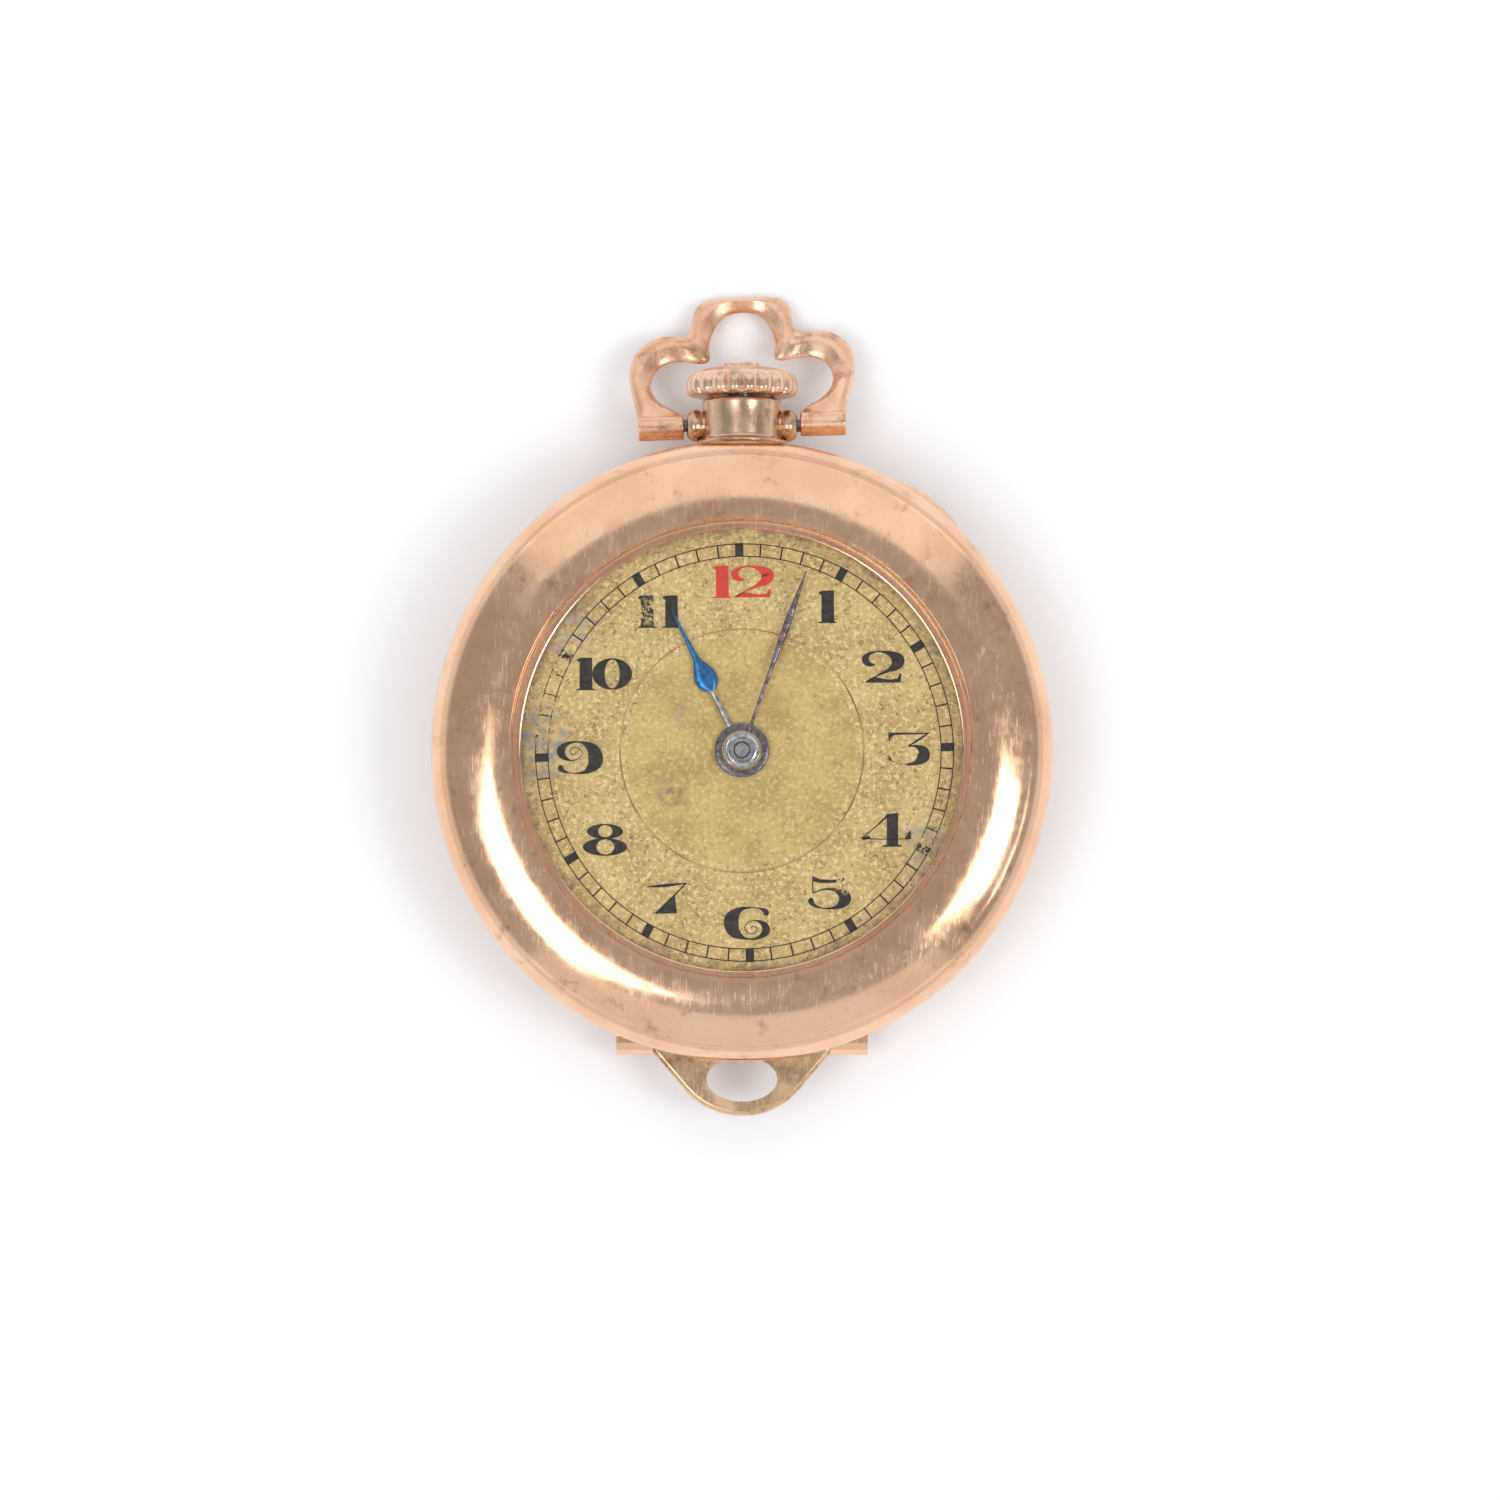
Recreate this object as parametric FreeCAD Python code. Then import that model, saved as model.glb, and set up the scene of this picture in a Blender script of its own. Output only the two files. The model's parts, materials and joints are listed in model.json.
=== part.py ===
"""Ladies' fob watch: hinged-back case, trefoil bow, fluted crown, dial, hands and lever movement.

Millimetres. The watch lies on its back cover: +Z is out of the dial, +Y is 12 o'clock, +X is
3 o'clock, and the origin is the middle of the cover's flat land. Every function makes one node.
"""

import FreeCAD
import Part
import math
import os

V = FreeCAD.Vector
X_AXIS = V(1, 0, 0)
Y_AXIS = V(0, 1, 0)
Z_AXIS = V(0, 0, 1)
ORIGIN = V(0, 0, 0)

# Case
CASE_R = 14.0
BAND_R = 13.35
BAND_TOP = 5.38
RIM_IN_R = 12.95
COVER_LAND_R = 8.6
COVER_WALL = 0.42
HINGE_Y = -12.95
HINGE_Z = 2.0
KNUCKLE_R = 0.7
KNUCKLE_SWEEP_R = 0.78
MID_KNUCKLE_HALF = 2.87
KNUCKLES_HALF = 5.7
HINGE_PIN_R = 0.28
LIP_ANGLE = 90 - 36
DIAL_OPENING_R = 9.95
GLASS_R = 10.22

# Pendant, crown and bow
STEM_Z = 3.4
NECK_R = 1.8
NECK_END = 16.12
BOW_AXIS_Y = 14.9
BOW_DROOP = -25.5
BOW_HALF_THICK = 0.45
BOW_SKEW = 0.05
BOW_BARREL_R = 0.57
BOW_BARREL_LEAN = 2.0
BOW_PIN_R = 0.28
BOSS_R = 0.7
BOSS_END = 2.5
CROWN_R = 2.565
CROWN_START = 16.22
CROWN_END = 17.6
FLUTES = 20

# Movement levels
PLATE_R = 11.28
PLATE_BACK = 3.9
PLATE_STEP = 5.0
PLATE_TOP = 5.3
POCKET_FLOOR = 4.65
BRIDGE_BACK = 1.45
BRIDGE_FRONT = 2.2
BRIDGE_R = 11.0
COCK_BACK = 0.75
COCK_FRONT = 1.35

# Arbor places, as (x, y)
CENTRE = (0.0, 0.0)
BARREL = (-4.3, 3.1)
THIRD = (3.52, 0.755)
FOURTH = (4.312, -2.201)
ESCAPE = (1.883, -3.603)
PALLET = (-0.001, -4.922)
BALANCE = (-2.131, -6.414)
CROWN_WHEEL = (0.0, 6.842)
SETTING = (0.0, 5.2)
MINUTE = (0.888, 2.23)
CLICK = (-7.55, 6.35)
COCK_FOOT = (-7.7, -4.6)
PALLET_FOOT = (0.5, -8.0)
SETTING_LEVER = (2.6, 9.2)
YOKE = (-3.2, 8.3)
CASE_SCREWS = [(10.8, 35), (10.8, 235)]
DIAL_FEET = [(8.9, 22), (8.9, 200)]
BARREL_BRIDGE_SCREWS = [(10.2, 70), (10.2, 108), (10.2, 178)]
TRAIN_BRIDGE_SCREWS = [(9.8, -5), (9.8, -50)]
# The gap between the two bridges runs at right angles to this direction, this far from the centre
SPLIT_ANGLE = 116.8
SPLIT_AT = 0.8

# Gears, as (teeth, module)
BARREL_GEAR = (72, 5.3008 / 42)
CENTRE_PINION = (12, 5.3008 / 42)
CENTRE_GEAR = (64, 0.1)
THIRD_PINION = (8, 0.1)
THIRD_GEAR = (60, 0.09)
FOURTH_PINION = (8, 0.09)
FOURTH_GEAR = (60, 0.085)
ESCAPE_PINION = (6, 0.085)
CANNON_GEAR = (12, 0.1)
MINUTE_GEAR = (36, 0.1)
MINUTE_PINION = (10, 0.096)
HOUR_GEAR = (40, 0.096)
SETTING_GEAR = (26, 0.1)
WINDING_PINION = (20, 0.15)
CROWN_GEAR = (30, 0.15)
RATCHET_GEAR = (46, 0.15)

# Hands, degrees clockwise from 12
HOUR_AT = 333.4
MINUTE_AT = 19.8


def polar(radius, degrees):
    """The (x, y) of a point given by radius and angle from +X."""
    a = math.radians(degrees)
    return (radius * math.cos(a), radius * math.sin(a))


def cyl(at, z0, z1, radius):
    """An upright cylinder between two heights."""
    return Part.makeCylinder(radius, z1 - z0, V(at[0], at[1], z0))


def ring(at, z0, z1, outer, inner):
    """An upright ring between two heights."""
    return cyl(at, z0, z1, outer).cut(cyl(at, z0 - 1, z1 + 1, inner))


def box(x0, x1, y0, y1, z0, z1):
    """A box given by its limits."""
    return Part.makeBox(x1 - x0, y1 - y0, z1 - z0, V(x0, y0, z0))


def outline(points):
    """A closed wire through (u, v) points; one with four numbers ends an arc through its last two."""
    edges = []
    here = V(points[0][0], points[0][1], 0)
    for p in points[1:] + points[:1]:
        there = V(p[0], p[1], 0)
        if len(p) == 4:
            edges.append(Part.Arc(here, V(p[2], p[3], 0), there).toShape())
        else:
            edges.append(Part.makeLine(here, there))
        here = there
    return Part.Wire(edges)


def slab(points, z0, z1):
    """An outline raised between two heights."""
    face = Part.Face(outline(points))
    face.translate(V(0, 0, z0))
    return face.extrude(V(0, 0, z1 - z0))


def turned(profile, at=(0, 0)):
    """A turned solid about a vertical axis from an outline of (radius, height) points."""
    face = Part.Face(outline(profile))
    face.rotate(ORIGIN, X_AXIS, 90)
    solid = face.revolve(ORIGIN, Z_AXIS, 360)
    solid.translate(V(at[0], at[1], 0))
    return solid


def along_y(shape):
    """Lays an upright shape along the stem, so that its height becomes y."""
    shape.rotate(ORIGIN, X_AXIS, -90)
    shape.translate(V(0, 0, STEM_Z))
    return shape


def along_x(shape, y, z):
    """Lays an upright shape along +X at the given y and z."""
    shape.rotate(ORIGIN, Y_AXIS, 90)
    shape.translate(V(0, y, z))
    return shape


def rod_x(x0, x1, y, z, radius):
    """A cylinder along X."""
    return along_x(cyl((0, 0), x0, x1, radius), y, z)


def rod_y(y0, y1, radius):
    """A cylinder along the stem's axis."""
    return along_y(cyl((0, 0), y0, y1, radius))


def fused(shapes):
    """One solid from overlapping shapes."""
    return shapes[0].multiFuse(shapes[1:]).removeSplitter()


def both_sides(shape):
    """The shape and its mirror image across the YZ plane, as two solids."""
    return Part.Compound([shape, shape.mirror(ORIGIN, X_AXIS)])


def gear_blank(gear, z0, z1, phase, pinion=False):
    """A toothed disc about the origin. Phase is the angle of one tooth in degrees."""
    teeth, module = gear
    pitch = 2 * math.pi / teeth
    radius = teeth * module / 2
    root, tip = radius - 1.2 * module, radius + 0.85 * module
    half_root, half_pitch, half_tip = (0.15, 0.14, 0.05) if pinion else (0.26, 0.2, 0.06)
    points = []
    for i in range(teeth):
        middle = math.radians(phase) + i * pitch
        for r, side in ((root, -half_root), (radius, -half_pitch), (tip, -half_tip),
                        (tip, half_tip), (radius, half_pitch), (root, half_root)):
            points.append((r * math.cos(middle + side * pitch), r * math.sin(middle + side * pitch)))
    return slab(points, z0, z1)


def wheel(gear, at, z0, z1, bore, phase, spokes=4, rim=0.42, hub=0.6, pinion=False):
    """A wheel with spokes, or a plain one if spokes is 0."""
    solid = gear_blank(gear, z0, z1, phase, pinion)
    if spokes:
        inner = gear[0] * gear[1] / 2 - 1.2 * gear[1] - rim
        solid = solid.cut(cyl((0, 0), z0 - 1, z1 + 1, inner))
        arms = [cyl((0, 0), z0, z1, hub)]
        for i in range(spokes):
            arm = box(0, inner + rim / 2, -0.14, 0.14, z0, z1)
            arm.rotate(ORIGIN, Z_AXIS, i * 360 / spokes + 20)
            arms.append(arm)
        solid = fused([solid] + arms)
    if bore:
        solid = solid.cut(cyl((0, 0), z0 - 1, z1 + 1, bore))
    solid.translate(V(at[0], at[1], 0))
    return solid


def meshed(gear_a, at_a, phase_a, gear_b, at_b):
    """The phase of gear b that puts its gap on a tooth of gear a."""
    towards = math.degrees(math.atan2(at_b[1] - at_a[1], at_b[0] - at_a[0]))
    part_of_pitch = ((towards - phase_a) / (360 / gear_a[0])) % 1
    return towards + 180 - (0.5 - part_of_pitch) * 360 / gear_b[0]


def spiral(at, r0, r1, turns, thick, z0, z1):
    """A flat ribbon wound in a spiral."""
    steps = int(turns * 16)
    sides = []
    for side in (-thick / 2, thick / 2):
        curve = []
        for i in range(steps + 1):
            r = r0 + (r1 - r0) * i / steps + side
            a = 2 * math.pi * turns * i / steps
            curve.append(V(at[0] + r * math.cos(a), at[1] + r * math.sin(a), z0))
        spline = Part.BSplineCurve()
        spline.interpolate(curve)
        sides.append((spline.toShape(), curve))
    ends = [Part.makeLine(sides[0][1][k], sides[1][1][k]) for k in (0, -1)]
    wire = Part.Wire(Part.__sortEdges__([sides[0][0], ends[1], sides[1][0], ends[0]]))
    return Part.Face(wire).extrude(V(0, 0, z1 - z0))


def screw(at, face, head_r, head_h, shank_r, end):
    """A slotted screw whose head lies flush with a face that looks to -Z."""
    solid = fused([cyl(at, face, face + head_h, head_r), cyl(at, face, end, shank_r)])
    slot = box(-head_r, head_r, -0.09, 0.09, face - 1, face + head_h * 0.4)
    slot.rotate(ORIGIN, Z_AXIS, 37 * (at[0] + 2 * at[1]))
    slot.translate(V(at[0], at[1], 0))
    return solid.cut(slot)


def screw_room(at, face, head_r, head_h, shank_r, end):
    """The counterbore and hole for a screw."""
    return fused([cyl(at, face - 1, face + head_h + 0.02, head_r + 0.05),
                  cyl(at, face, end + 0.05, shank_r + 0.04)])


# Single screws as the arguments of screw()
COCK_SCREW = (COCK_FOOT, COCK_BACK, 0.7, 0.33, 0.36, 4.6)
PALLET_SCREW = (PALLET_FOOT, 2.25, 0.4, 0.12, 0.2, 4.4)
CLICK_SCREW = (CLICK, 1.42, 0.4, 0.15, 0.2, 2.15)


def plate_screw_sizes():
    """Every screw that goes into the main plate as the arguments of screw()."""
    places = BARREL_BRIDGE_SCREWS + TRAIN_BRIDGE_SCREWS
    sizes = [(polar(*place), BRIDGE_BACK, 0.6, 0.33, 0.34, 4.6) for place in places]
    return sizes + [COCK_SCREW, PALLET_SCREW]


# ---------------------------------------------------------------- case

def case_band():
    profile = [(12.85, 1.95), (12.85, 2.65), (BAND_R, 2.65), (BAND_R, BAND_TOP), (12.9, BAND_TOP),
               (12.9, 6.0), (12.3, 6.0), (12.3, BAND_TOP), (10.75, BAND_TOP), (10.75, 5.02),
               (11.35, 5.02), (11.35, 3.6), (11.9, 3.6), (11.9, 1.95)]
    band = turned(profile)
    band = band.cut(box(-7.6, 7.6, -14, -9, 1, 2.65))
    band = band.cut(rod_x(-KNUCKLES_HALF - 0.08, KNUCKLES_HALF + 0.08, HINGE_Y, HINGE_Z, KNUCKLE_SWEEP_R))
    knuckle = rod_x(-MID_KNUCKLE_HALF, MID_KNUCKLE_HALF, HINGE_Y, HINGE_Z, KNUCKLE_R)
    web = box(-MID_KNUCKLE_HALF, MID_KNUCKLE_HALF, HINGE_Y - 0.3, HINGE_Y + 0.35, HINGE_Z, 3.0)
    band = fused([band, knuckle, web])
    band = band.cut(rod_x(-7, 7, HINGE_Y, HINGE_Z, HINGE_PIN_R + 0.03))
    return band.cut(rod_y(10, 14, 0.66))


def bezel():
    profile = [(DIAL_OPENING_R, 5.85), (10.7, 5.85), (10.7, 5.4), (12.25, 5.4), (12.25, 6.05),
               (12.95, 6.05), (12.95, 5.4), (13.45, 5.4), (CASE_R, 6.0, 13.87, 5.58),
               (12.97, 7.22, 13.74, 6.65), (10.55, 7.72, 11.9, 7.58), (GLASS_R + 0.06, 7.45, 10.36, 7.64),
               (GLASS_R + 0.06, 6.5), (DIAL_OPENING_R, 6.5)]
    return turned(profile)


def crystal():
    profile = [(0, 8.15), (0.6, 8.15), (GLASS_R, 7.15, 5.45, 7.92), (GLASS_R, 6.52), (9.6, 6.52),
               (0.6, 7.45, 5.1, 7.22), (0, 7.45)]
    return turned(profile)


def back_cover():
    profile = [(0, 0), (COVER_LAND_R, 0), (BAND_R, 1.75, 11.6, 0.5), (BAND_R, 2.6), (RIM_IN_R, 2.6),
               (RIM_IN_R, 1.9), (COVER_LAND_R, COVER_WALL, 11.2, 0.92), (0, COVER_WALL)]
    cover = turned(profile)
    lip = cyl(polar(9.67, LIP_ANGLE), 2.0, 2.58, 4.85).cut(cyl((0, 0), 1, 4, RIM_IN_R))
    bevel = turned([(13.6, 2.58), (15.5, 2.58), (15.5, 2.2)])
    lip = lip.cut(bevel)
    knuckles = [rod_x(x0, x1, HINGE_Y, HINGE_Z, KNUCKLE_R)
                for x0, x1 in ((-KNUCKLES_HALF, -2.95), (2.95, KNUCKLES_HALF))]
    cover = cover.cut(rod_x(-2.94, 2.94, HINGE_Y, HINGE_Z, KNUCKLE_SWEEP_R))
    cover = fused([cover, lip] + knuckles)
    return cover.cut(rod_x(-7, 7, HINGE_Y, HINGE_Z, HINGE_PIN_R + 0.03))


def hinge_pin():
    return rod_x(-KNUCKLES_HALF + 0.05, KNUCKLES_HALF - 0.05, HINGE_Y, HINGE_Z, HINGE_PIN_R)


def bottom_lug():
    """A strap that tapers to a round nose, with an oval eye."""
    corner_x, corner_y, nose_y, nose_r = 4.05, -13.55, -13.05, 3.4
    reach = math.hypot(corner_x, corner_y - nose_y)
    turn = math.degrees(math.atan2(corner_y - nose_y, corner_x) - math.acos(nose_r / reach))
    touch_x, touch_y = polar(nose_r, turn)
    touch_y += nose_y
    points = [(-corner_x, -12.6), (-corner_x, corner_y), (-touch_x, touch_y),
              (touch_x, touch_y, 0, nose_y - nose_r), (corner_x, corner_y), (corner_x, -12.6)]
    lug = slab(points, 3.0, 4.2)
    rim = [e for e in lug.Edges if e.BoundBox.YMin < -12.7 and e.BoundBox.ZLength < 0.01]
    lug = lug.makeFillet(0.22, rim)
    eye = Part.Ellipse(V(0, -14.78, 0), 1.6, 1.02).toShape()
    lug = lug.cut(Part.Face(Part.Wire([eye])).extrude(V(0, 0, 9)))
    lug = lug.makeFillet(0.22, [e for e in lug.Edges if "Ellipse" in e.Curve.TypeId])
    return lug.cut(cyl((0, 0), 2, 5, BAND_R + 0.02))


def pendant_neck():
    profile = [(0.95, 12.9), (NECK_R, 12.9), (NECK_R, 14.02), (2.0, 14.08), (2.0, 14.3),
               (NECK_R, 14.45), (NECK_R, 15.9), (1.6, NECK_END, 1.75, 16.06), (0.95, NECK_END)]
    neck = along_y(turned(profile))
    bead = turned([(0, 1.5), (BOSS_R, 1.5), (BOSS_R, 2.2),
                   (BOSS_R - 0.22, BOSS_END, BOSS_R - 0.04, 2.42), (0, BOSS_END)])
    bosses = both_sides(along_x(bead, BOW_AXIS_Y, STEM_Z)).Solids
    neck = fused([neck] + bosses)
    neck = neck.cut(rod_y(12, 17, 0.95))
    neck = neck.cut(rod_x(-3, 3, BOW_AXIS_Y, STEM_Z, BOW_PIN_R + 0.02))
    neck = neck.cut(cyl((0, 0), -1, 9, BAND_R + 0.02))
    return neck.cut(cyl((0, 0), -1, 2.66, BAND_R + 0.1))


def spline_edge(points):
    """A smooth edge through (u, v) points."""
    curve = Part.BSplineCurve()
    curve.interpolate([V(u, v, 0) for u, v in points])
    return curve.toShape()


def bow_chains():
    """The trefoil's right half in its own plane: the outside, the middle arch and the side lobe."""
    outside = [(4.72, -0.27), (4.73, 0.53), (4.87, 1.23), (5.08, 1.92), (5.14, 2.67), (5.08, 3.36),
               (4.88, 3.94), (4.52, 4.4), (4.02, 4.69), (3.45, 4.8), (2.9, 4.73), (2.55, 4.77), (2.34, 5.1),
               (2.28, 5.54), (2.22, 5.99), (2.05, 6.34), (1.7, 6.58), (1.0, 6.67), (0, 6.65)]
    arch = [(0, 6.03), (0.55, 5.95), (0.97, 5.63), (1.29, 5.15), (1.47, 4.56), (1.51, 4.0), (1.45, 3.68),
            (1.53, 3.45), (1.76, 3.36)]
    lobe = [(1.76, 3.36), (2.05, 3.38), (2.5, 3.48), (3.05, 3.5), (3.5, 3.38), (3.87, 3.11), (4.1, 2.67),
            (4.15, 2.24), (4.03, 1.79), (3.75, 1.39), (3.33, 1.09), (2.9, 0.85), (2.72, 0.48)]
    return outside, arch, lobe


def bow():
    """The trefoil with its two barrels; it has been pulled a little askew, so one side stands higher."""
    chains = bow_chains()
    chains += ([chains[0][0], chains[2][-1]],)
    edges = []
    for side in (-1, 1):
        for chain in chains:
            edges.append(spline_edge([(side * x, y + BOW_SKEW * side * x) for x, y in chain]))
    face = Part.Face(Part.Wire(Part.__sortEdges__(edges)))
    face.translate(V(0, 0, -BOW_HALF_THICK))
    solid = face.extrude(V(0, 0, 2 * BOW_HALF_THICK))
    barrels = both_sides(rod_x(2.66, 4.74, 0, 0, BOW_BARREL_R))
    barrels.rotate(ORIGIN, Z_AXIS, BOW_BARREL_LEAN)
    solid = fused([solid] + barrels.Solids)
    solid = solid.cut(rod_x(-4.4, 4.4, 0, 0, BOW_PIN_R + 0.03))
    solid.rotate(ORIGIN, X_AXIS, BOW_DROOP)
    solid.translate(V(0, BOW_AXIS_Y, STEM_Z))
    return solid


def bow_pins():
    return both_sides(rod_x(1.15, 4.35, BOW_AXIS_Y, STEM_Z, BOW_PIN_R))


def crown():
    profile = [(0.6, 16.45), (1.5, 16.45), (1.5, CROWN_START), (2.25, CROWN_START),
               (CROWN_R, 16.57, 2.5, 16.3), (CROWN_R, 16.73), (2.0, 17.35, 2.4, 17.11),
               (0.8, CROWN_END, 1.45, 17.54), (0.8, 17.75), (0, 17.75), (0, 17.15), (0.6, 17.15)]
    knob = along_y(turned(profile))
    grooves = []
    for i in range(FLUTES):
        x, y = polar(2.72, (i + 0.5) * 360 / FLUTES)
        groove = Part.makeCylinder(0.31, 2.4, V(x, y, 15.5))
        grooves.append(along_y(groove))
    return knob.cut(Part.Compound(grooves))


# ---------------------------------------------------------------- winding and setting

def winding_stem():
    profile = [(0, 6.8), (0.3, 6.8), (0.3, 7.3), (0.5, 7.3), (0.5, 8.85), (0.55, 8.85), (0.55, 10.2),
               (0.35, 10.2), (0.35, 10.62), (0.58, 10.62), (0.58, 17.1), (0, 17.1)]
    return along_y(turned(profile))


def winding_pinion():
    blank = wheel(WINDING_PINION, (0, 0), 8.93, 9.95, 0.6, 90, spokes=0, pinion=True)
    return along_y(blank)


def clutch():
    profile = [(0.56, 7.2), (1.15, 7.2), (1.15, 7.75), (0.85, 7.75), (0.85, 8.25), (1.15, 8.25),
               (1.15, 8.88), (0.56, 8.88)]
    body = turned(profile)
    slots = []
    for i in range(8):
        for z0, z1 in ((7.0, 7.38), (8.7, 9.0)):
            slot = box(0.7, 1.3, -0.14, 0.14, z0, z1)
            slot.rotate(ORIGIN, Z_AXIS, i * 45)
            slots.append(slot)
    return along_y(body.cut(Part.Compound(slots)))


def lever_bar(a, b, width_a, width_b, z0, z1):
    """A flat bar with round ends between two points."""
    dx, dy = b[0] - a[0], b[1] - a[1]
    length = math.hypot(dx, dy)
    nx, ny = -dy / length, dx / length
    points = [(a[0] + nx * width_a, a[1] + ny * width_a), (a[0] - nx * width_a, a[1] - ny * width_a),
              (b[0] - nx * width_b, b[1] - ny * width_b), (b[0] + nx * width_b, b[1] + ny * width_b)]
    return fused([slab(points, z0, z1), cyl(a, z0, z1, width_a), cyl(b, z0, z1, width_b)])


def setting_lever():
    arm = lever_bar(SETTING_LEVER, (0, 10.4), 0.55, 0.22, 4.72, 4.94)
    lever = fused([arm, cyl((0, 10.4), 3.85, 4.8, 0.14)])
    return lever.cut(cyl(SETTING_LEVER, 4, 6, 0.29))


def yoke():
    arm = lever_bar(YOKE, (0, 8.0), 0.55, 0.25, 4.72, 4.94)
    finger = box(-0.3, 0.3, 7.87, 8.13, 4.35, 4.8)
    return fused([arm, finger]).cut(cyl(YOKE, 4, 6, 0.29))


def setting_bridge():
    cover = lever_bar((-3.2, 8.3), (2.6, 9.2), 0.6, 0.6, 5.16, 5.28)
    posts = [cyl(at, POCKET_FLOOR + 0.01, 5.2, 0.24) for at in (YOKE, SETTING_LEVER)]
    return fused([cover] + posts)


def setting_wheel(phase):
    return wheel(SETTING_GEAR, SETTING, 4.75, 4.95, 0.24, phase, spokes=0)


def minute_wheel(phase, pinion_phase):
    disc = wheel(MINUTE_GEAR, MINUTE, 4.72, 4.92, 0, phase, spokes=0)
    leaves = wheel(MINUTE_PINION, MINUTE, 4.9, 5.22, 0, pinion_phase, spokes=0, pinion=True)
    return fused([disc, leaves]).cut(cyl(MINUTE, 4, 6, 0.24))


def cannon_pinion(phase):
    leaves = wheel(CANNON_GEAR, CENTRE, 4.72, 4.94, 0, phase, spokes=0, pinion=True)
    pipe = cyl(CENTRE, 4.72, 6.33, 0.56)
    return fused([leaves, pipe]).cut(cyl(CENTRE, 4, 7, 0.38))


def hour_wheel(phase):
    disc = wheel(HOUR_GEAR, CENTRE, 5.02, 5.2, 0, phase, spokes=0)
    pipe = cyl(CENTRE, 5.02, 6.1, 0.9)
    return fused([disc, pipe]).cut(cyl(CENTRE, 4, 7, 0.64))


def hand(points, z0, z1, hub_r, bore_r, clockwise):
    """A hand from its right-hand outline (half width, distance), pointing at an angle from 12."""
    left = [(-x, y) for x, y in reversed(points)]
    blade = slab(points + left, z0, z1)
    solid = fused([blade, cyl(CENTRE, z0, z1, hub_r)]).cut(cyl(CENTRE, z0 - 1, z1 + 1, bore_r))
    solid.rotate(ORIGIN, Z_AXIS, -clockwise)
    return solid


def hour_hand():
    points = [(0.13, 1.0), (0.13, 2.95)]
    for i in range(9):
        t = i / 8
        points.append((0.13 + 0.41 * math.sin(math.pi * t ** 0.8) ** 0.8, 3.0 + 1.9 * t))
    points += [(0.12, 5.1), (0.02, 7.1)]
    return hand(points, 5.96, 6.08, 1.23, 0.91, HOUR_AT)


def minute_hand():
    points = [(0.1, 0.6), (0.1, 2.0), (0.14, 4.0), (0.2, 6.0), (0.14, 7.4), (0.02, 8.65)]
    return hand(points, 6.24, 6.36, 0.845, 0.575, MINUTE_AT)


def dial():
    disc = ring(CENTRE, 5.33, 5.68, 10.55, 1.0)
    feet = [cyl(polar(*place), 4.1, 5.4, 0.3) for place in DIAL_FEET]
    return fused([disc] + feet)


# ---------------------------------------------------------------- frame of the movement

def main_plate():
    plate = fused([cyl(CENTRE, PLATE_BACK, PLATE_STEP, PLATE_R), cyl(CENTRE, PLATE_BACK, PLATE_TOP, 10.6)])
    rooms = [cyl(CENTRE, POCKET_FLOOR, 6, 2.3), cyl(MINUTE, POCKET_FLOOR, 6, 2.15),
             cyl(SETTING, POCKET_FLOOR, 6, 1.6), box(-4.0, 3.4, 6.9, 9.9, POCKET_FLOOR, 6),
             box(-0.6, 3.4, 8.6, 10.6, POCKET_FLOOR, 6), box(-0.7, 1.2, 10.0, 12, POCKET_FLOOR, 6),
             box(-0.35, 0.65, 10.1, 12, 3.6, 5), box(-1.85, 1.85, 8.86, 10.03, 3.6, 5.2),
             box(-1.3, 1.3, 6.6, 8.9, 3.6, 5), rod_y(9.5, 12, 0.7), cyl(CENTRE, 3, 6, 0.62)]
    for at in (THIRD, FOURTH, ESCAPE, PALLET, BALANCE):
        rooms.append(cyl(at, 3, 6, 0.45))
    rooms.append(cyl(BARREL, 3, 6, 0.55))
    rooms += [cyl(polar(*place), 3, 6, 0.34) for place in DIAL_FEET]
    rooms += [screw_room(*size) for size in plate_screw_sizes()]
    rooms += [screw_room(*size) for size in case_screw_sizes()]
    plate = plate.cut(Part.Compound(rooms[:6])).cut(Part.Compound(rooms[6:]))
    posts = [cyl(at, POCKET_FLOOR - 0.2, 4.97, 0.2) for at in (SETTING, MINUTE)]
    return fused([plate] + posts)


def case_screw_sizes():
    """Every case screw as the arguments of screw()."""
    return [(polar(*place), 3.2, 0.8, 0.35, 0.3, 4.5) for place in CASE_SCREWS]


def case_screws():
    return Part.Compound([screw(*size) for size in case_screw_sizes()])


def side_of_split(sign, gap):
    """A big block on one side of the line between the bridges."""
    block = box(-30, 30, SPLIT_AT + gap, 40, 0, 9) if sign > 0 else box(-30, 30, -40, SPLIT_AT - gap, 0, 9)
    block.rotate(ORIGIN, Z_AXIS, SPLIT_ANGLE - 90)
    return block


def bridge_with_wall(wall_in_r, side):
    """A bridge plate with its outer wall down to the main plate, kept on one side of the split."""
    top = cyl(CENTRE, BRIDGE_BACK, BRIDGE_FRONT, BRIDGE_R)
    wall = ring(CENTRE, BRIDGE_BACK, PLATE_BACK - 0.01, BRIDGE_R, wall_in_r)
    return fused([top, wall]).common(side)


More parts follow.
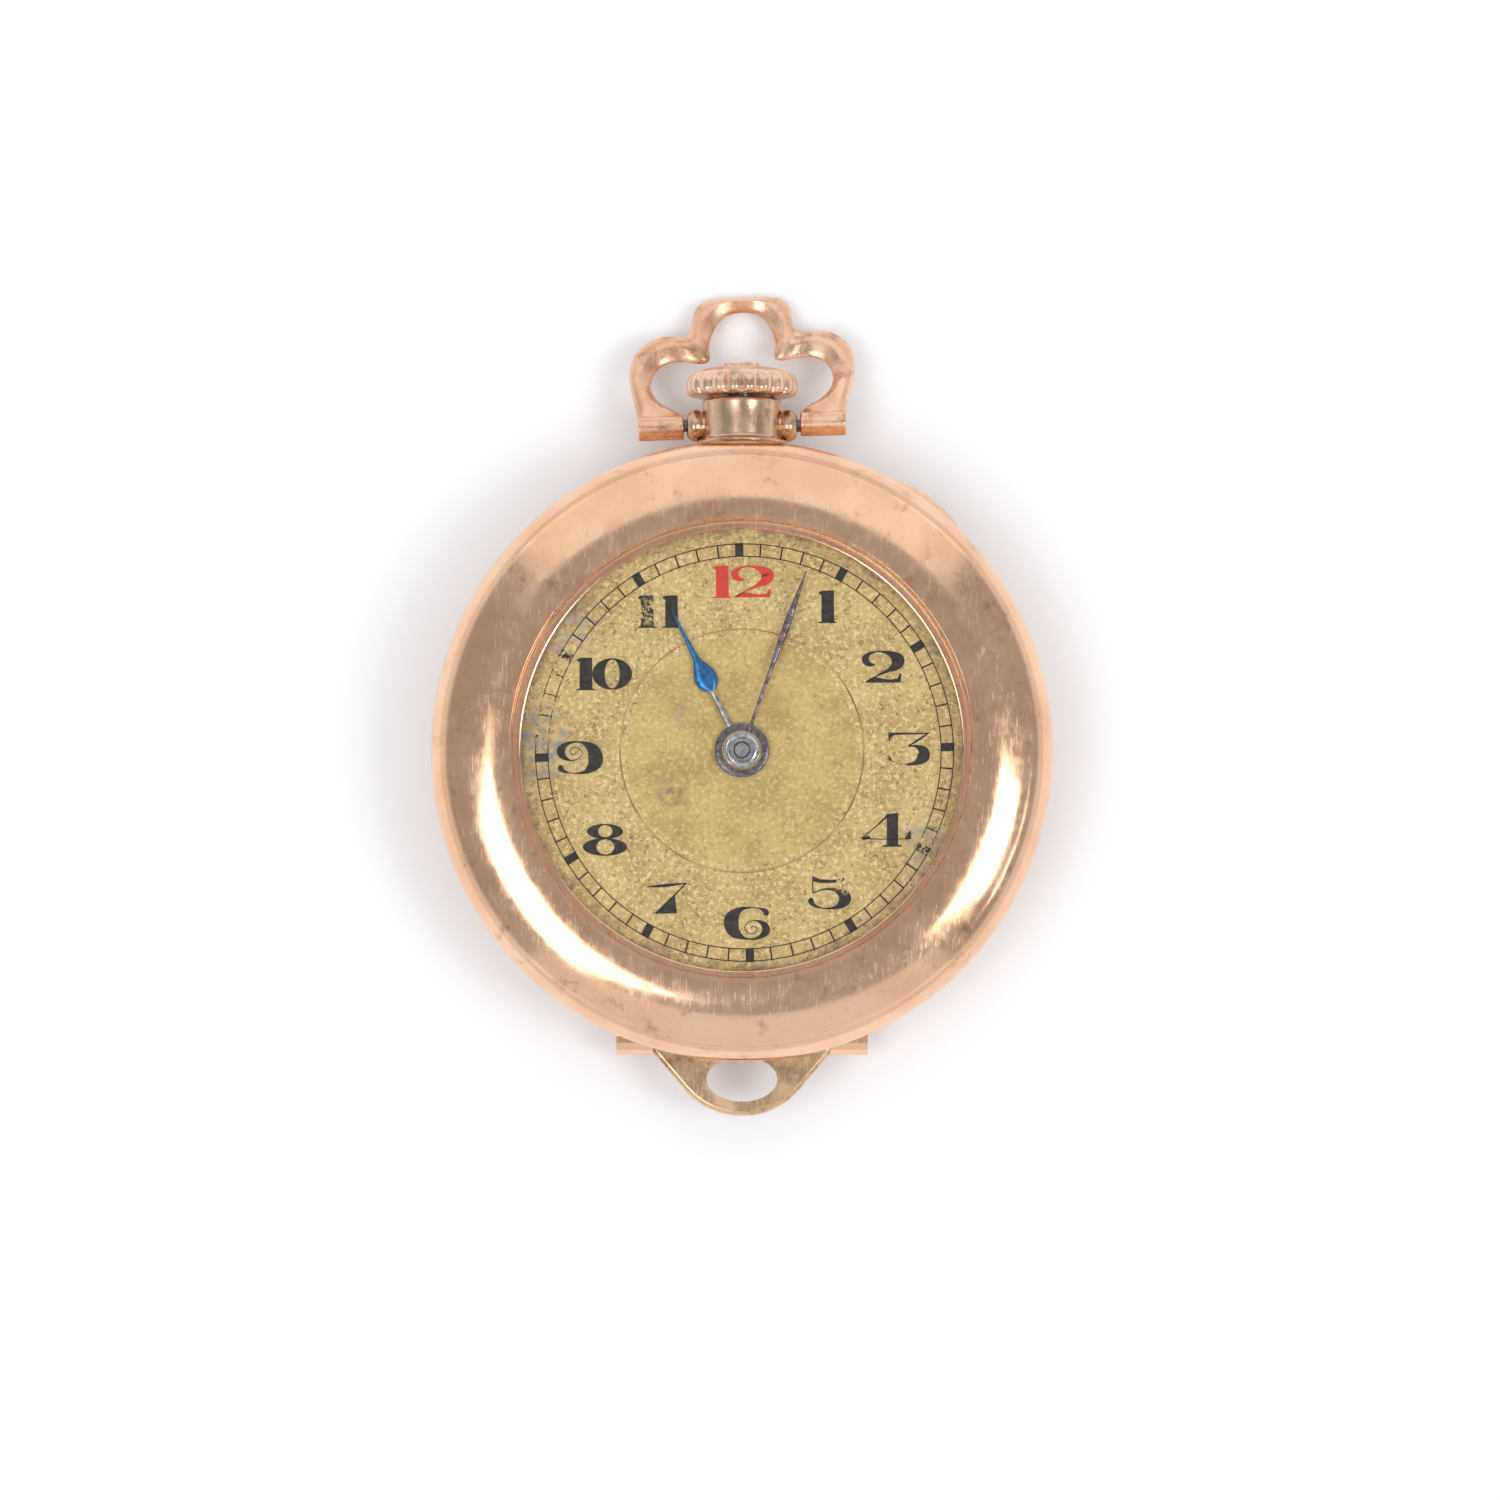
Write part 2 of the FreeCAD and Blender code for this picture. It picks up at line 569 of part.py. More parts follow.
def barrel_bridge():
    bridge = bridge_with_wall(10.05, side_of_split(1, 0.05))
    rooms = [cyl(BARREL, 1, 1.9, 4.1), cyl(CROWN_WHEEL, 1, 1.9, 2.6), cyl(CLICK, 1, 1.9, 1.0),
             box(-1.9, 1.9, 8.86, 10.03, 1.0, 5), box(-1.3, 1.3, 6.6, 8.9, 2.1, 5), rod_y(9.5, 12, 0.7),
             cyl(BARREL, 1, 3, 0.75)]
    rooms += [cyl(polar(*place), 1, 5, 0.95) for place in CASE_SCREWS]
    rooms += [screw_room(*size) for size in plate_screw_sizes() + [CLICK_SCREW]]
    for room in rooms:
        bridge = bridge.cut(room)
    return fused([bridge, cyl(CROWN_WHEEL, 1.45, 1.95, 0.55)]).cut(cyl(CROWN_WHEEL, 1, 3, 0.3))


def train_bridge():
    bridge = bridge_with_wall(8.6, side_of_split(-1, 0.05))
    rooms = [cyl(BALANCE, 1, 5, 4.15), cyl(COCK_FOOT, 1, 5, 1.7), box(-12, -4.2, -12, 3, 1, 5),
             box(-12, 0, -12, -6, 1, 5), cyl(PALLET_FOOT, 1, 5, 0.8)]
    rooms += [cyl(polar(*place), 1, 5, 0.95) for place in CASE_SCREWS]
    rooms += [cyl(at, 1, 5, 0.45) for at in (CENTRE, THIRD, FOURTH, ESCAPE)]
    rooms += [screw_room(*size) for size in plate_screw_sizes() + [CLICK_SCREW]]
    for room in rooms:
        bridge = bridge.cut(room)
    return max(bridge.Solids, key=lambda s: s.Volume)


def pallet_bridge():
    bar = lever_bar(PALLET, PALLET_FOOT, 0.6, 0.7, 2.25, 2.5)
    foot = cyl(PALLET_FOOT, 2.25, PLATE_BACK - 0.01, 0.6)
    bridge = fused([bar, foot]).cut(cyl(PALLET, 2, 3, 0.45))
    return bridge.cut(screw_room(*PALLET_SCREW))


def balance_cock():
    arm = lever_bar(COCK_FOOT, BALANCE, 1.45, 0.95, COCK_BACK, COCK_FRONT)
    foot = cyl(COCK_FOOT, COCK_BACK, PLATE_BACK - 0.01, 1.45)
    cock = fused([arm, foot]).cut(cyl(BALANCE, 0, 3, 0.45))
    return cock.cut(screw_room(*COCK_SCREW))


def bridge_screws():
    return Part.Compound([screw(*size) for size in plate_screw_sizes() + [CLICK_SCREW]])


def jewel(at, z0, z1):
    """A ring stone with a cupped face and a pivot hole."""
    middle = (z0 + z1) / 2
    profile = [(0.14, z0 + 0.1), (0.3, z0), (0.43, z0), (0.43, z1), (0.14, z1), (0.13, middle)]
    return turned(profile, at)


def plate_jewels():
    return Part.Compound([jewel(at, 3.95, 4.35) for at in (THIRD, FOURTH, ESCAPE, PALLET, BALANCE)])


def bridge_jewels():
    stones = [jewel(at, 1.6, 2.0) for at in (THIRD, FOURTH, ESCAPE)]
    stones.append(jewel(PALLET, 2.26, 2.48))
    stones.append(jewel(BALANCE, 0.85, 1.25))
    return Part.Compound(stones)


# ---------------------------------------------------------------- barrel and winding wheels

def mainspring_barrel(phase):
    drum = turned([(0.85, 3.22), (4.1, 3.22), (4.1, 2.34), (4.28, 2.34), (4.28, 3.4), (0.85, 3.4)], BARREL)
    teeth = wheel(BARREL_GEAR, BARREL, 3.1, 3.4, 4.2, phase, spokes=0)
    return fused([drum, teeth])


def barrel_cover():
    return turned([(0.85, 2.34), (4.06, 2.34), (4.06, 2.46), (0.85, 2.46)], BARREL)


def barrel_arbor():
    profile = [(0, 1.42), (0.34, 1.42), (0.34, 1.88), (0.6, 1.88), (0.6, 2.28), (0.78, 2.28), (0.78, 2.55),
               (1.2, 2.55), (1.2, 3.12), (0.78, 3.12), (0.78, 3.5), (0.48, 3.5), (0.48, 4.4), (0, 4.4)]
    arbor = turned(profile, BARREL)
    return arbor.cut(cyl(BARREL, 1.3, 2.2, 0.2))


def mainspring():
    return spiral(BARREL, 1.45, 3.9, 9, 0.1, 2.56, 3.12)


def ratchet_wheel(phase):
    return wheel(RATCHET_GEAR, BARREL, 1.42, 1.84, 0.36, phase, spokes=0)


def winding_screw(at, thread_r, head_r):
    """The flat screw in the middle of a winding wheel, its head looking to -Z."""
    solid = fused([cyl(at, 1.12, 1.38, head_r), cyl(at, 1.3, 2.1, thread_r)])
    slot = box(at[0] - 2, at[0] + 2, at[1] - 0.11, at[1] + 0.11, 1, 1.22)
    return solid.cut(slot)


def ratchet_screw():
    return winding_screw(BARREL, 0.18, 1.1)


def crown_wheel(phase):
    return wheel(CROWN_GEAR, CROWN_WHEEL, 1.42, 1.84, 0.6, phase, spokes=0)


def crown_wheel_screw():
    return winding_screw(CROWN_WHEEL, 0.27, 1.05)


def click():
    towards = math.atan2(BARREL[1] - CLICK[1], BARREL[0] - CLICK[0])
    beak_end = (CLICK[0] + 0.85 * math.cos(towards + 0.35), CLICK[1] + 0.85 * math.sin(towards + 0.35))
    body = lever_bar(CLICK, beak_end, 0.62, 0.06, 1.6, 1.84)
    return body.cut(cyl(CLICK, 1, 3, 0.25))


def click_spring():
    strip = ring(BARREL, 1.55, 1.84, 3.95, 3.85)
    wedge = slab([(0, 0), polar(9, 157.6), polar(9, 212)], 1, 2)
    wedge.translate(V(BARREL[0], BARREL[1], 0))
    anchor_x, anchor_y = polar(3.85, 205)
    anchor = cyl((BARREL[0] + anchor_x, BARREL[1] + anchor_y), 1.55, 1.89, 0.2)
    return fused([strip.common(wedge), anchor])


# ---------------------------------------------------------------- going train

def arbor(at, z0, z1, body_r, body_z0, body_z1, pivot_r=0.1):
    """An arbor with thin pivots."""
    profile = [(0, z0), (pivot_r, z0), (pivot_r, body_z0), (body_r, body_z0), (body_r, body_z1),
               (pivot_r, body_z1), (pivot_r, z1), (0, z1)]
    return turned(profile, at)


def pinion_arbor(at, gear, phase, leaves, z0, z1, body_r, body):
    """An arbor with a pinion cut on it; leaves and body are (from, to) heights."""
    blank = wheel(gear, at, leaves[0], leaves[1], 0, phase, spokes=0, pinion=True)
    return fused([arbor(at, z0, z1, body_r, body[0], body[1]), blank])


def centre_arbor():
    profile = [(0, 1.75), (0.2, 1.75), (0.2, 2.25), (0.33, 2.25), (0.33, 3.46), (0.45, 3.46), (0.45, 3.95),
               (0.32, 3.95), (0.32, 6.3), (0, 6.3)]
    return turned(profile, CENTRE)


def centre_pinion(phase):
    """The safety pinion, which can run back on the centre arbor if the mainspring breaks."""
    return wheel(CENTRE_PINION, CENTRE, 3.05, 3.44, 0.37, phase, spokes=0, pinion=True)


def escape_wheel(phase):
    """Fifteen club teeth leaning forwards on a light rim."""
    points = []
    for i in range(15):
        a = math.radians(phase + i * 24)
        for r, turn in ((1.3, 0.0), (1.68, 0.16), (1.7, 0.2), (1.62, 0.24), (1.3, 0.12)):
            points.append((r * math.cos(a + turn), r * math.sin(a + turn)))
    solid = slab(points, 2.62, 2.71).cut(cyl((0, 0), 2, 3, 1.12))
    arms = [cyl((0, 0), 2.62, 2.71, 0.36)]
    for i in range(4):
        arm = box(0, 1.2, -0.07, 0.07, 2.62, 2.71)
        arm.rotate(ORIGIN, Z_AXIS, i * 90)
        arms.append(arm)
    solid = fused([solid] + arms).cut(cyl((0, 0), 2, 3, 0.19))
    solid.translate(V(ESCAPE[0], ESCAPE[1], 0))
    return solid


def from_pallet(distance, degrees):
    """A point given from the pallet arbor, its angle counted from the direction of the escape wheel."""
    ahead = math.degrees(math.atan2(ESCAPE[1] - PALLET[1], ESCAPE[0] - PALLET[0]))
    x, y = polar(distance, ahead + degrees)
    return (PALLET[0] + x, PALLET[1] + y)


def pallet_fork():
    z0, z1 = 2.6, 2.74
    tail = lever_bar(PALLET, from_pallet(2.1, 180), 0.24, 0.26, z0, z1)
    arms = [lever_bar(PALLET, from_pallet(1.45, side), 0.24, 0.16, z0, z1) for side in (58, -58)]
    notch = box(1.93, 2.6, -0.11, 0.11, 2, 3)
    away = math.degrees(math.atan2(PALLET[1] - ESCAPE[1], PALLET[0] - ESCAPE[0]))
    notch.rotate(ORIGIN, Z_AXIS, away)
    notch.translate(V(PALLET[0], PALLET[1], 0))
    staff = arbor(PALLET, 2.3, 4.3, 0.16, 2.52, 3.85)
    fork = fused([tail] + arms).cut(notch)
    return fused([fork, staff])


def pallet_stones():
    stones = []
    for side in (58, -58):
        stone = lever_bar(from_pallet(1.7, side), from_pallet(1.82, side * 0.97), 0.07, 0.07, 2.56, 2.78)
        stones.append(stone)
    return Part.Compound(stones)


def balance_wheel():
    rim = ring((0, 0), 1.75, 2.05, 3.7, 3.35)
    arms = box(-3.5, 3.5, -0.2, 0.2, 1.75, 1.88)
    hub = cyl((0, 0), 1.75, 1.9, 0.55)
    screws = []
    for i in range(12):
        head = rod_x(3.6, 3.95, 0, 1.9, 0.12)
        head.rotate(ORIGIN, Z_AXIS, i * 30 + 15)
        screws.append(head)
    solid = fused([rim, arms, hub] + screws).cut(cyl((0, 0), 1, 3, 0.27))
    solid.rotate(ORIGIN, Z_AXIS, 35)
    solid.translate(V(BALANCE[0], BALANCE[1], 0))
    return solid


def balance_staff():
    """The staff with its hairspring collet, roller table and impulse jewel."""
    profile = [(0, 0.95), (0.09, 0.95), (0.09, 1.38), (0.2, 1.38), (0.2, 1.46), (0.38, 1.46), (0.38, 1.64),
               (0.25, 1.64), (0.25, 2.44), (0.6, 2.44), (0.6, 2.54), (0.15, 2.54), (0.15, 3.85),
               (0.09, 3.85), (0.09, 4.3), (0, 4.3)]
    ahead = math.degrees(math.atan2(PALLET[1] - BALANCE[1], PALLET[0] - BALANCE[0]))
    x, y = polar(0.45, ahead)
    pin = cyl((BALANCE[0] + x, BALANCE[1] + y), 2.5, 2.8, 0.08)
    return fused([turned(profile, BALANCE), pin])


def hairspring():
    return spiral(BALANCE, 0.5, 2.3, 9, 0.05, 1.5, 1.62)


def hairspring_stud():
    return cyl((BALANCE[0] - 2.2, BALANCE[1] + 0.72), 1.37, 1.7, 0.17)


def regulator():
    """The index lever on the cock, with its two curb pins."""
    arm = lever_bar(BALANCE, (BALANCE[0] + 2.3, BALANCE[1] + 1.6), 0.75, 0.1, 0.62, 0.74)
    return arm.cut(cyl(BALANCE, 0, 3, 0.5))


def main():
    setting_phase = 90.0
    minute_phase = meshed(SETTING_GEAR, SETTING, setting_phase, MINUTE_GEAR, MINUTE)
    cannon_phase = meshed(MINUTE_GEAR, MINUTE, minute_phase, CANNON_GEAR, CENTRE)
    hour_phase = meshed(MINUTE_PINION, MINUTE, 0.0, HOUR_GEAR, CENTRE)
    barrel_phase = 0.0
    centre_phase = meshed(BARREL_GEAR, BARREL, barrel_phase, CENTRE_PINION, CENTRE)
    fourth_phase = 0.0
    third_phase = meshed(FOURTH_PINION, FOURTH, fourth_phase, THIRD_GEAR, THIRD)
    escape_phase = meshed(FOURTH_GEAR, FOURTH, fourth_phase, ESCAPE_PINION, ESCAPE)
    third_pinion_phase = meshed(CENTRE_GEAR, CENTRE, 0.0, THIRD_PINION, THIRD)
    crown_phase = 90.0 + 180.0 / CROWN_GEAR[0]
    ratchet_phase = meshed(CROWN_GEAR, CROWN_WHEEL, crown_phase, RATCHET_GEAR, BARREL)

    nodes = {
        "case_band": case_band(),
        "bezel": bezel(),
        "crystal": crystal(),
        "back_cover": back_cover(),
        "hinge_pin": hinge_pin(),
        "bottom_lug": bottom_lug(),
        "pendant_neck": pendant_neck(),
        "bow": bow(),
        "bow_pins": bow_pins(),
        "crown": crown(),
        "winding_stem": winding_stem(),
        "winding_pinion": winding_pinion(),
        "clutch": clutch(),
        "setting_lever": setting_lever(),
        "yoke": yoke(),
        "setting_bridge": setting_bridge(),
        "setting_wheel": setting_wheel(setting_phase),
        "minute_wheel": minute_wheel(minute_phase, 0.0),
        "cannon_pinion": cannon_pinion(cannon_phase),
        "hour_wheel": hour_wheel(hour_phase),
        "hour_hand": hour_hand(),
        "minute_hand": minute_hand(),
        "dial": dial(),
        "main_plate": main_plate(),
        "case_screws": case_screws(),
        "barrel_bridge": barrel_bridge(),
        "train_bridge": train_bridge(),
        "pallet_bridge": pallet_bridge(),
        "balance_cock": balance_cock(),
        "bridge_screws": bridge_screws(),
        "plate_jewels": plate_jewels(),
        "bridge_jewels": bridge_jewels(),
        "mainspring_barrel": mainspring_barrel(barrel_phase),
        "barrel_cover": barrel_cover(),
        "barrel_arbor": barrel_arbor(),
        "mainspring": mainspring(),
        "ratchet_wheel": ratchet_wheel(ratchet_phase),
        "ratchet_screw": ratchet_screw(),
        "crown_wheel": crown_wheel(crown_phase),
        "crown_wheel_screw": crown_wheel_screw(),
        "click": click(),
        "click_spring": click_spring(),
        "centre_wheel": wheel(CENTRE_GEAR, CENTRE, 3.5, 3.65, 0.47, 0.0, spokes=4, hub=0.9),
        "centre_arbor": centre_arbor(),
        "centre_pinion": centre_pinion(centre_phase),
        "third_wheel": wheel(THIRD_GEAR, THIRD, 2.78, 2.93, 0.26, third_phase, spokes=4),
        "third_arbor": pinion_arbor(THIRD, THIRD_PINION, third_pinion_phase, (3.42, 3.75), 1.65, 4.3,
                                    0.24, (2.3, 3.85)),
        "fourth_wheel": wheel(FOURTH_GEAR, FOURTH, 3.1, 3.35, 0.24, fourth_phase, spokes=4),
        "fourth_arbor": pinion_arbor(FOURTH, FOURTH_PINION, fourth_phase, (2.68, 3.02), 1.65, 4.3,
                                     0.22, (2.3, 3.85)),
        "escape_wheel": escape_wheel(7.0),
        "escape_arbor": pinion_arbor(ESCAPE, ESCAPE_PINION, escape_phase, (3.02, 3.42), 1.65, 4.3,
                                     0.17, (2.3, 3.85)),
        "pallet_fork": pallet_fork(),
        "pallet_stones": pallet_stones(),
        "balance_wheel": balance_wheel(),
        "balance_staff": balance_staff(),
        "hairspring": hairspring(),
        "hairspring_stud": hairspring_stud(),
        "regulator": regulator(),
    }
    os.makedirs("parts", exist_ok=True)
    for name, shape in nodes.items():
        if len(shape.Solids) == 1:
            shape = shape.Solids[0]
        shape.exportStep("parts/" + name + ".step")
        print(name, len(shape.Solids), shape.isValid(), round(shape.Volume, 3))


main()
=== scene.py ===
"""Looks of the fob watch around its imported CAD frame.

Lengths are written in millimetres and turned into metres once, by the mesh builders. The row frame has
+Z out of the dial, +Y towards 12 o'clock and +X towards 3 o'clock.
"""

import bpy
import json
import math
from mathutils import Matrix, Vector


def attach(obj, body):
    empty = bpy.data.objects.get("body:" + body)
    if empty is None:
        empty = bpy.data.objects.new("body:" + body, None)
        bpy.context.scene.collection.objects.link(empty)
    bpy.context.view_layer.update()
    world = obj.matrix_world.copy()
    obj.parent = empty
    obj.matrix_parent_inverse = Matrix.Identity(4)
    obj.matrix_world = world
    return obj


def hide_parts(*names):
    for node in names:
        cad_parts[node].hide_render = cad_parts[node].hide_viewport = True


MM = 0.001
TAU = 2 * math.pi

# Shared with the frame: heights in mm, and the hands' places in degrees clockwise from 12 o'clock
DIAL_TOP = 5.68
HOUR_Z = 5.96
MINUTE_Z = 6.24
STEM_Z = 3.4
HOUR_AT = 333.4
MINUTE_AT = 19.8

# The bow: its pin line, how far it lies down, its sideways pull (y per x) and the lean of its barrels
BOW_AXIS_Y = 14.9
BOW_PIVOT = Matrix.Translation((0, BOW_AXIS_Y * MM, STEM_Z * MM))
BOW_DROOP = math.radians(-25.5)
BOW_SKEW = 0.05
BOW_LEAN = math.radians(2.0)

# The crown's ribs, mm; the fades are shares of the height from its base to its shoulder
CROWN_BASE = 16.22
CROWN_SHOULDER = 17.35
RIBS = 20
RIB_DEPTH = 0.2
RIB_FROM_RADIUS = 1.9
RIB_FADE_IN = 0.12
RIB_FADE_OUT = 0.3
RIB_END = 0.97

# The hands' arms: points across the dome, the narrowest half width, and the edge's share of the height
BLADE_ROWS = 7
BLADE_TIP = 0.004
BLADE_EDGE = 0.35

# The dial and its print, mm; the minute track stands a little off centre and is turned a little
DIAL_EDGE = 10.1
GILT_CIRCLE = 5.45
PRINT_TURN = math.radians(1.5)
PRINT_CENTRE = (0.12, -0.08)
PRINT_BOTTOM = DIAL_TOP - 0.004
NUMERAL_TOP = DIAL_TOP + 0.012
TRACK_TOP = DIAL_TOP + 0.0072
TRACK_INNER = 8.86
TRACK_OUTER = 9.42
TRACK_LINE = 0.05
TICK_HALF = 0.036
TICK_OVER = 0.02
BAR_HALF = 0.19
BAR_OVER = 0.04

# Camera, with lengths in mm
LENS = 200
SENSOR = 36
FRAME_WIDTH = 67.75
ELEVATION = math.radians(87)
AIM = (0.366, 0.06, 5.0)

# The studio, in metres and degrees
FLOOR_HALF = 3.0
# An upright panel's name, y, half width, lower and upper edge, and radiance
WALL_PANELS = [
    ("back_panel", 0.35, 0.375, 0.16, 1.08, 0.6),
    ("front_panel", -0.4, 0.44, 0.18, 0.78, 0.4),
]
# A softbox's name, azimuth, elevation, distance, width, height and radiance
SOFTBOXES = [
    ("left_softbox", 240, 67, 1.1, 0.44, 0.44, 3.4),
    ("right_softbox", 106, 58, 1.1, 0.3, 0.4, 6.0),
]
OVERHEAD_FILL = ("overhead_fill", 0, 90, 1.5, 2.2, 2.2, 0.8)
# The room darkens between two heights of a view's unit direction
ROOM_TINT = (0.985, 0.99, 1.0, 1)
ROOM_SHADE = {"From Min": 0.3, "From Max": 0.5, "To Min": 0.84, "To Max": 0.42}

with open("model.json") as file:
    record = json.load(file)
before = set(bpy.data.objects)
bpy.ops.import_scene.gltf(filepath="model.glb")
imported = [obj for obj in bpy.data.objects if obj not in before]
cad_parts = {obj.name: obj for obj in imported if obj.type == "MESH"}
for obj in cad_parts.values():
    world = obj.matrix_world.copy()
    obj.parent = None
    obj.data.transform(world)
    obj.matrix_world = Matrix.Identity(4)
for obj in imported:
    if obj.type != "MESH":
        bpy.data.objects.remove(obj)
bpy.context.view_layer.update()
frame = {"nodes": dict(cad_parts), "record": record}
record = frame["record"]


# ---------------------------------------------------------------- mesh building

def make_object(name, verts, faces, material, smooth=True):
    """A mesh object from points in millimetres."""
    mesh = bpy.data.meshes.new(name)
    mesh.from_pydata([(x * MM, y * MM, z * MM) for x, y, z in verts], [], faces)
    mesh.validate()
    mesh.update()
    for polygon in mesh.polygons:
        polygon.use_smooth = smooth
    piece = bpy.data.objects.new(name, mesh)
    bpy.context.scene.collection.objects.link(piece)
    if material:
        mesh.materials.append(material)
    return piece


def sharpen(piece, degrees=32):
    """Smooth shading that keeps edges sharper than the angle."""
    piece.data.set_sharp_from_angle(angle=math.radians(degrees))
    return piece


def place(piece, body, slot, *nodes):
    """Rides a finished piece on its body and hides the CAD nodes it stands for."""
    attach(piece, body)
    if nodes:
        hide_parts(*nodes)


def arc_through(a, m, b, steps):
    """Points along the circle through a, m and b, without a itself."""
    (ax, ay), (mx, my), (bx, by) = a, m, b
    a2, m2, b2 = ax * ax + ay * ay, mx * mx + my * my, bx * bx + by * by
    d = 2 * (ax * (my - by) + mx * (by - ay) + bx * (ay - my))
    ux = (a2 * (my - by) + m2 * (by - ay) + b2 * (ay - my)) / d
    uy = (a2 * (bx - mx) + m2 * (ax - bx) + b2 * (mx - ax)) / d
    radius = math.hypot(ax - ux, ay - uy)
    start, mid, end = (math.atan2(y - uy, x - ux) for x, y in (a, m, b))
    sweep = (end - start) % TAU
    if (mid - start) % TAU > sweep:
        sweep -= TAU
    angles = [start + sweep * i / steps for i in range(1, steps + 1)]
    return [(ux + radius * math.cos(angle), uy + radius * math.sin(angle)) for angle in angles]


def profile_points(profile, steps):
    """Expands (r, z) corners, and (r, z, r_mid, z_mid) ones that an arc reaches through the middle point."""
    points = [profile[0]]
    for corner in profile[1:]:
        if len(corner) == 4:
            points += arc_through(points[-1], corner[2:], corner[:2], steps)
        else:
            points.append(corner)
    return points


def lathe(name, profile, material, segments, steps=1, radius_at=None):
    """A closed profile turned about Z. radius_at(r, z, angle) may reshape each point's radius."""
    verts, faces, rings = [], [], []
    for r, z in profile_points(profile, steps):
        if r < 1e-6:
            rings.append([len(verts)] * segments)
            verts.append((0, 0, z))
            continue
        ring = []
        for k in range(segments):
            angle = TAU * k / segments
            radius = radius_at(r, z, angle) if radius_at else r
            ring.append(len(verts))
            verts.append((radius * math.cos(angle), radius * math.sin(angle), z))
        rings.append(ring)
    for low, high in zip(rings, rings[1:] + rings[:1]):
        for k in range(segments):
            n = (k + 1) % segments
            face = list(dict.fromkeys([low[k], low[n], high[n], high[k]]))
            if len(face) > 2:
                faces.append(face)
    return make_object(name, verts, faces, material)


def loft(name, rings, material, smooth=True, closed=False):
    """A solid through rings of equal length: with flat ends, or closed on itself."""
    n = len(rings[0])
    verts = [point for ring in rings for point in ring]
    faces = []
    for i in range(len(rings) if closed else len(rings) - 1):
        low, high = i * n, (i + 1) % len(rings) * n
        for k in range(n):
            m = (k + 1) % n
            faces.append([low + k, low + m, high + m, high + k])
    if not closed:
        faces.append(list(range(n)))
        faces.append(list(range(len(verts) - n, len(verts)))[::-1])
    return make_object(name, verts, faces, material, smooth)


def turn_to_stem(piece):
    """Lays a turned mesh along the stem: its height becomes y."""
    piece.data.transform(Matrix.Translation((0, 0, STEM_Z * MM)) @ Matrix.Rotation(-math.pi / 2, 4, "X"))
    return piece


def to_side(side):
    """The turn that lays a turned mesh along x: towards +x for 1 and towards -x for -1."""
    return Matrix.Rotation(side * math.pi / 2, 4, "Y")


def join(pieces, name):
    """One object from several."""
    first = pieces[0]
    if len(pieces) == 1:
        first.name = first.data.name = name
        return first
    with bpy.context.temp_override(active_object=first, selected_editable_objects=pieces):
        bpy.ops.object.join()
    first.name = name
    first.data.name = name
    return first


def smooth_path(points, steps):
    """A Catmull-Rom curve through tuples of any length."""
    out = []
    last = len(points) - 1
    for i in range(last):
        p = [points[max(i - 1, 0)], points[i], points[i + 1], points[min(i + 2, last)]]
        for j in range(steps):
            t = j / steps
            out.append(tuple(0.5 * (2 * b + (c - a) * t + (2 * a - 5 * b + 4 * c - d) * t * t
                                    + (3 * b - a - 3 * c + d) * t ** 3)
                             for a, b, c, d in zip(*p)))
    out.append(tuple(points[-1]))
    return out


# ---------------------------------------------------------------- materials

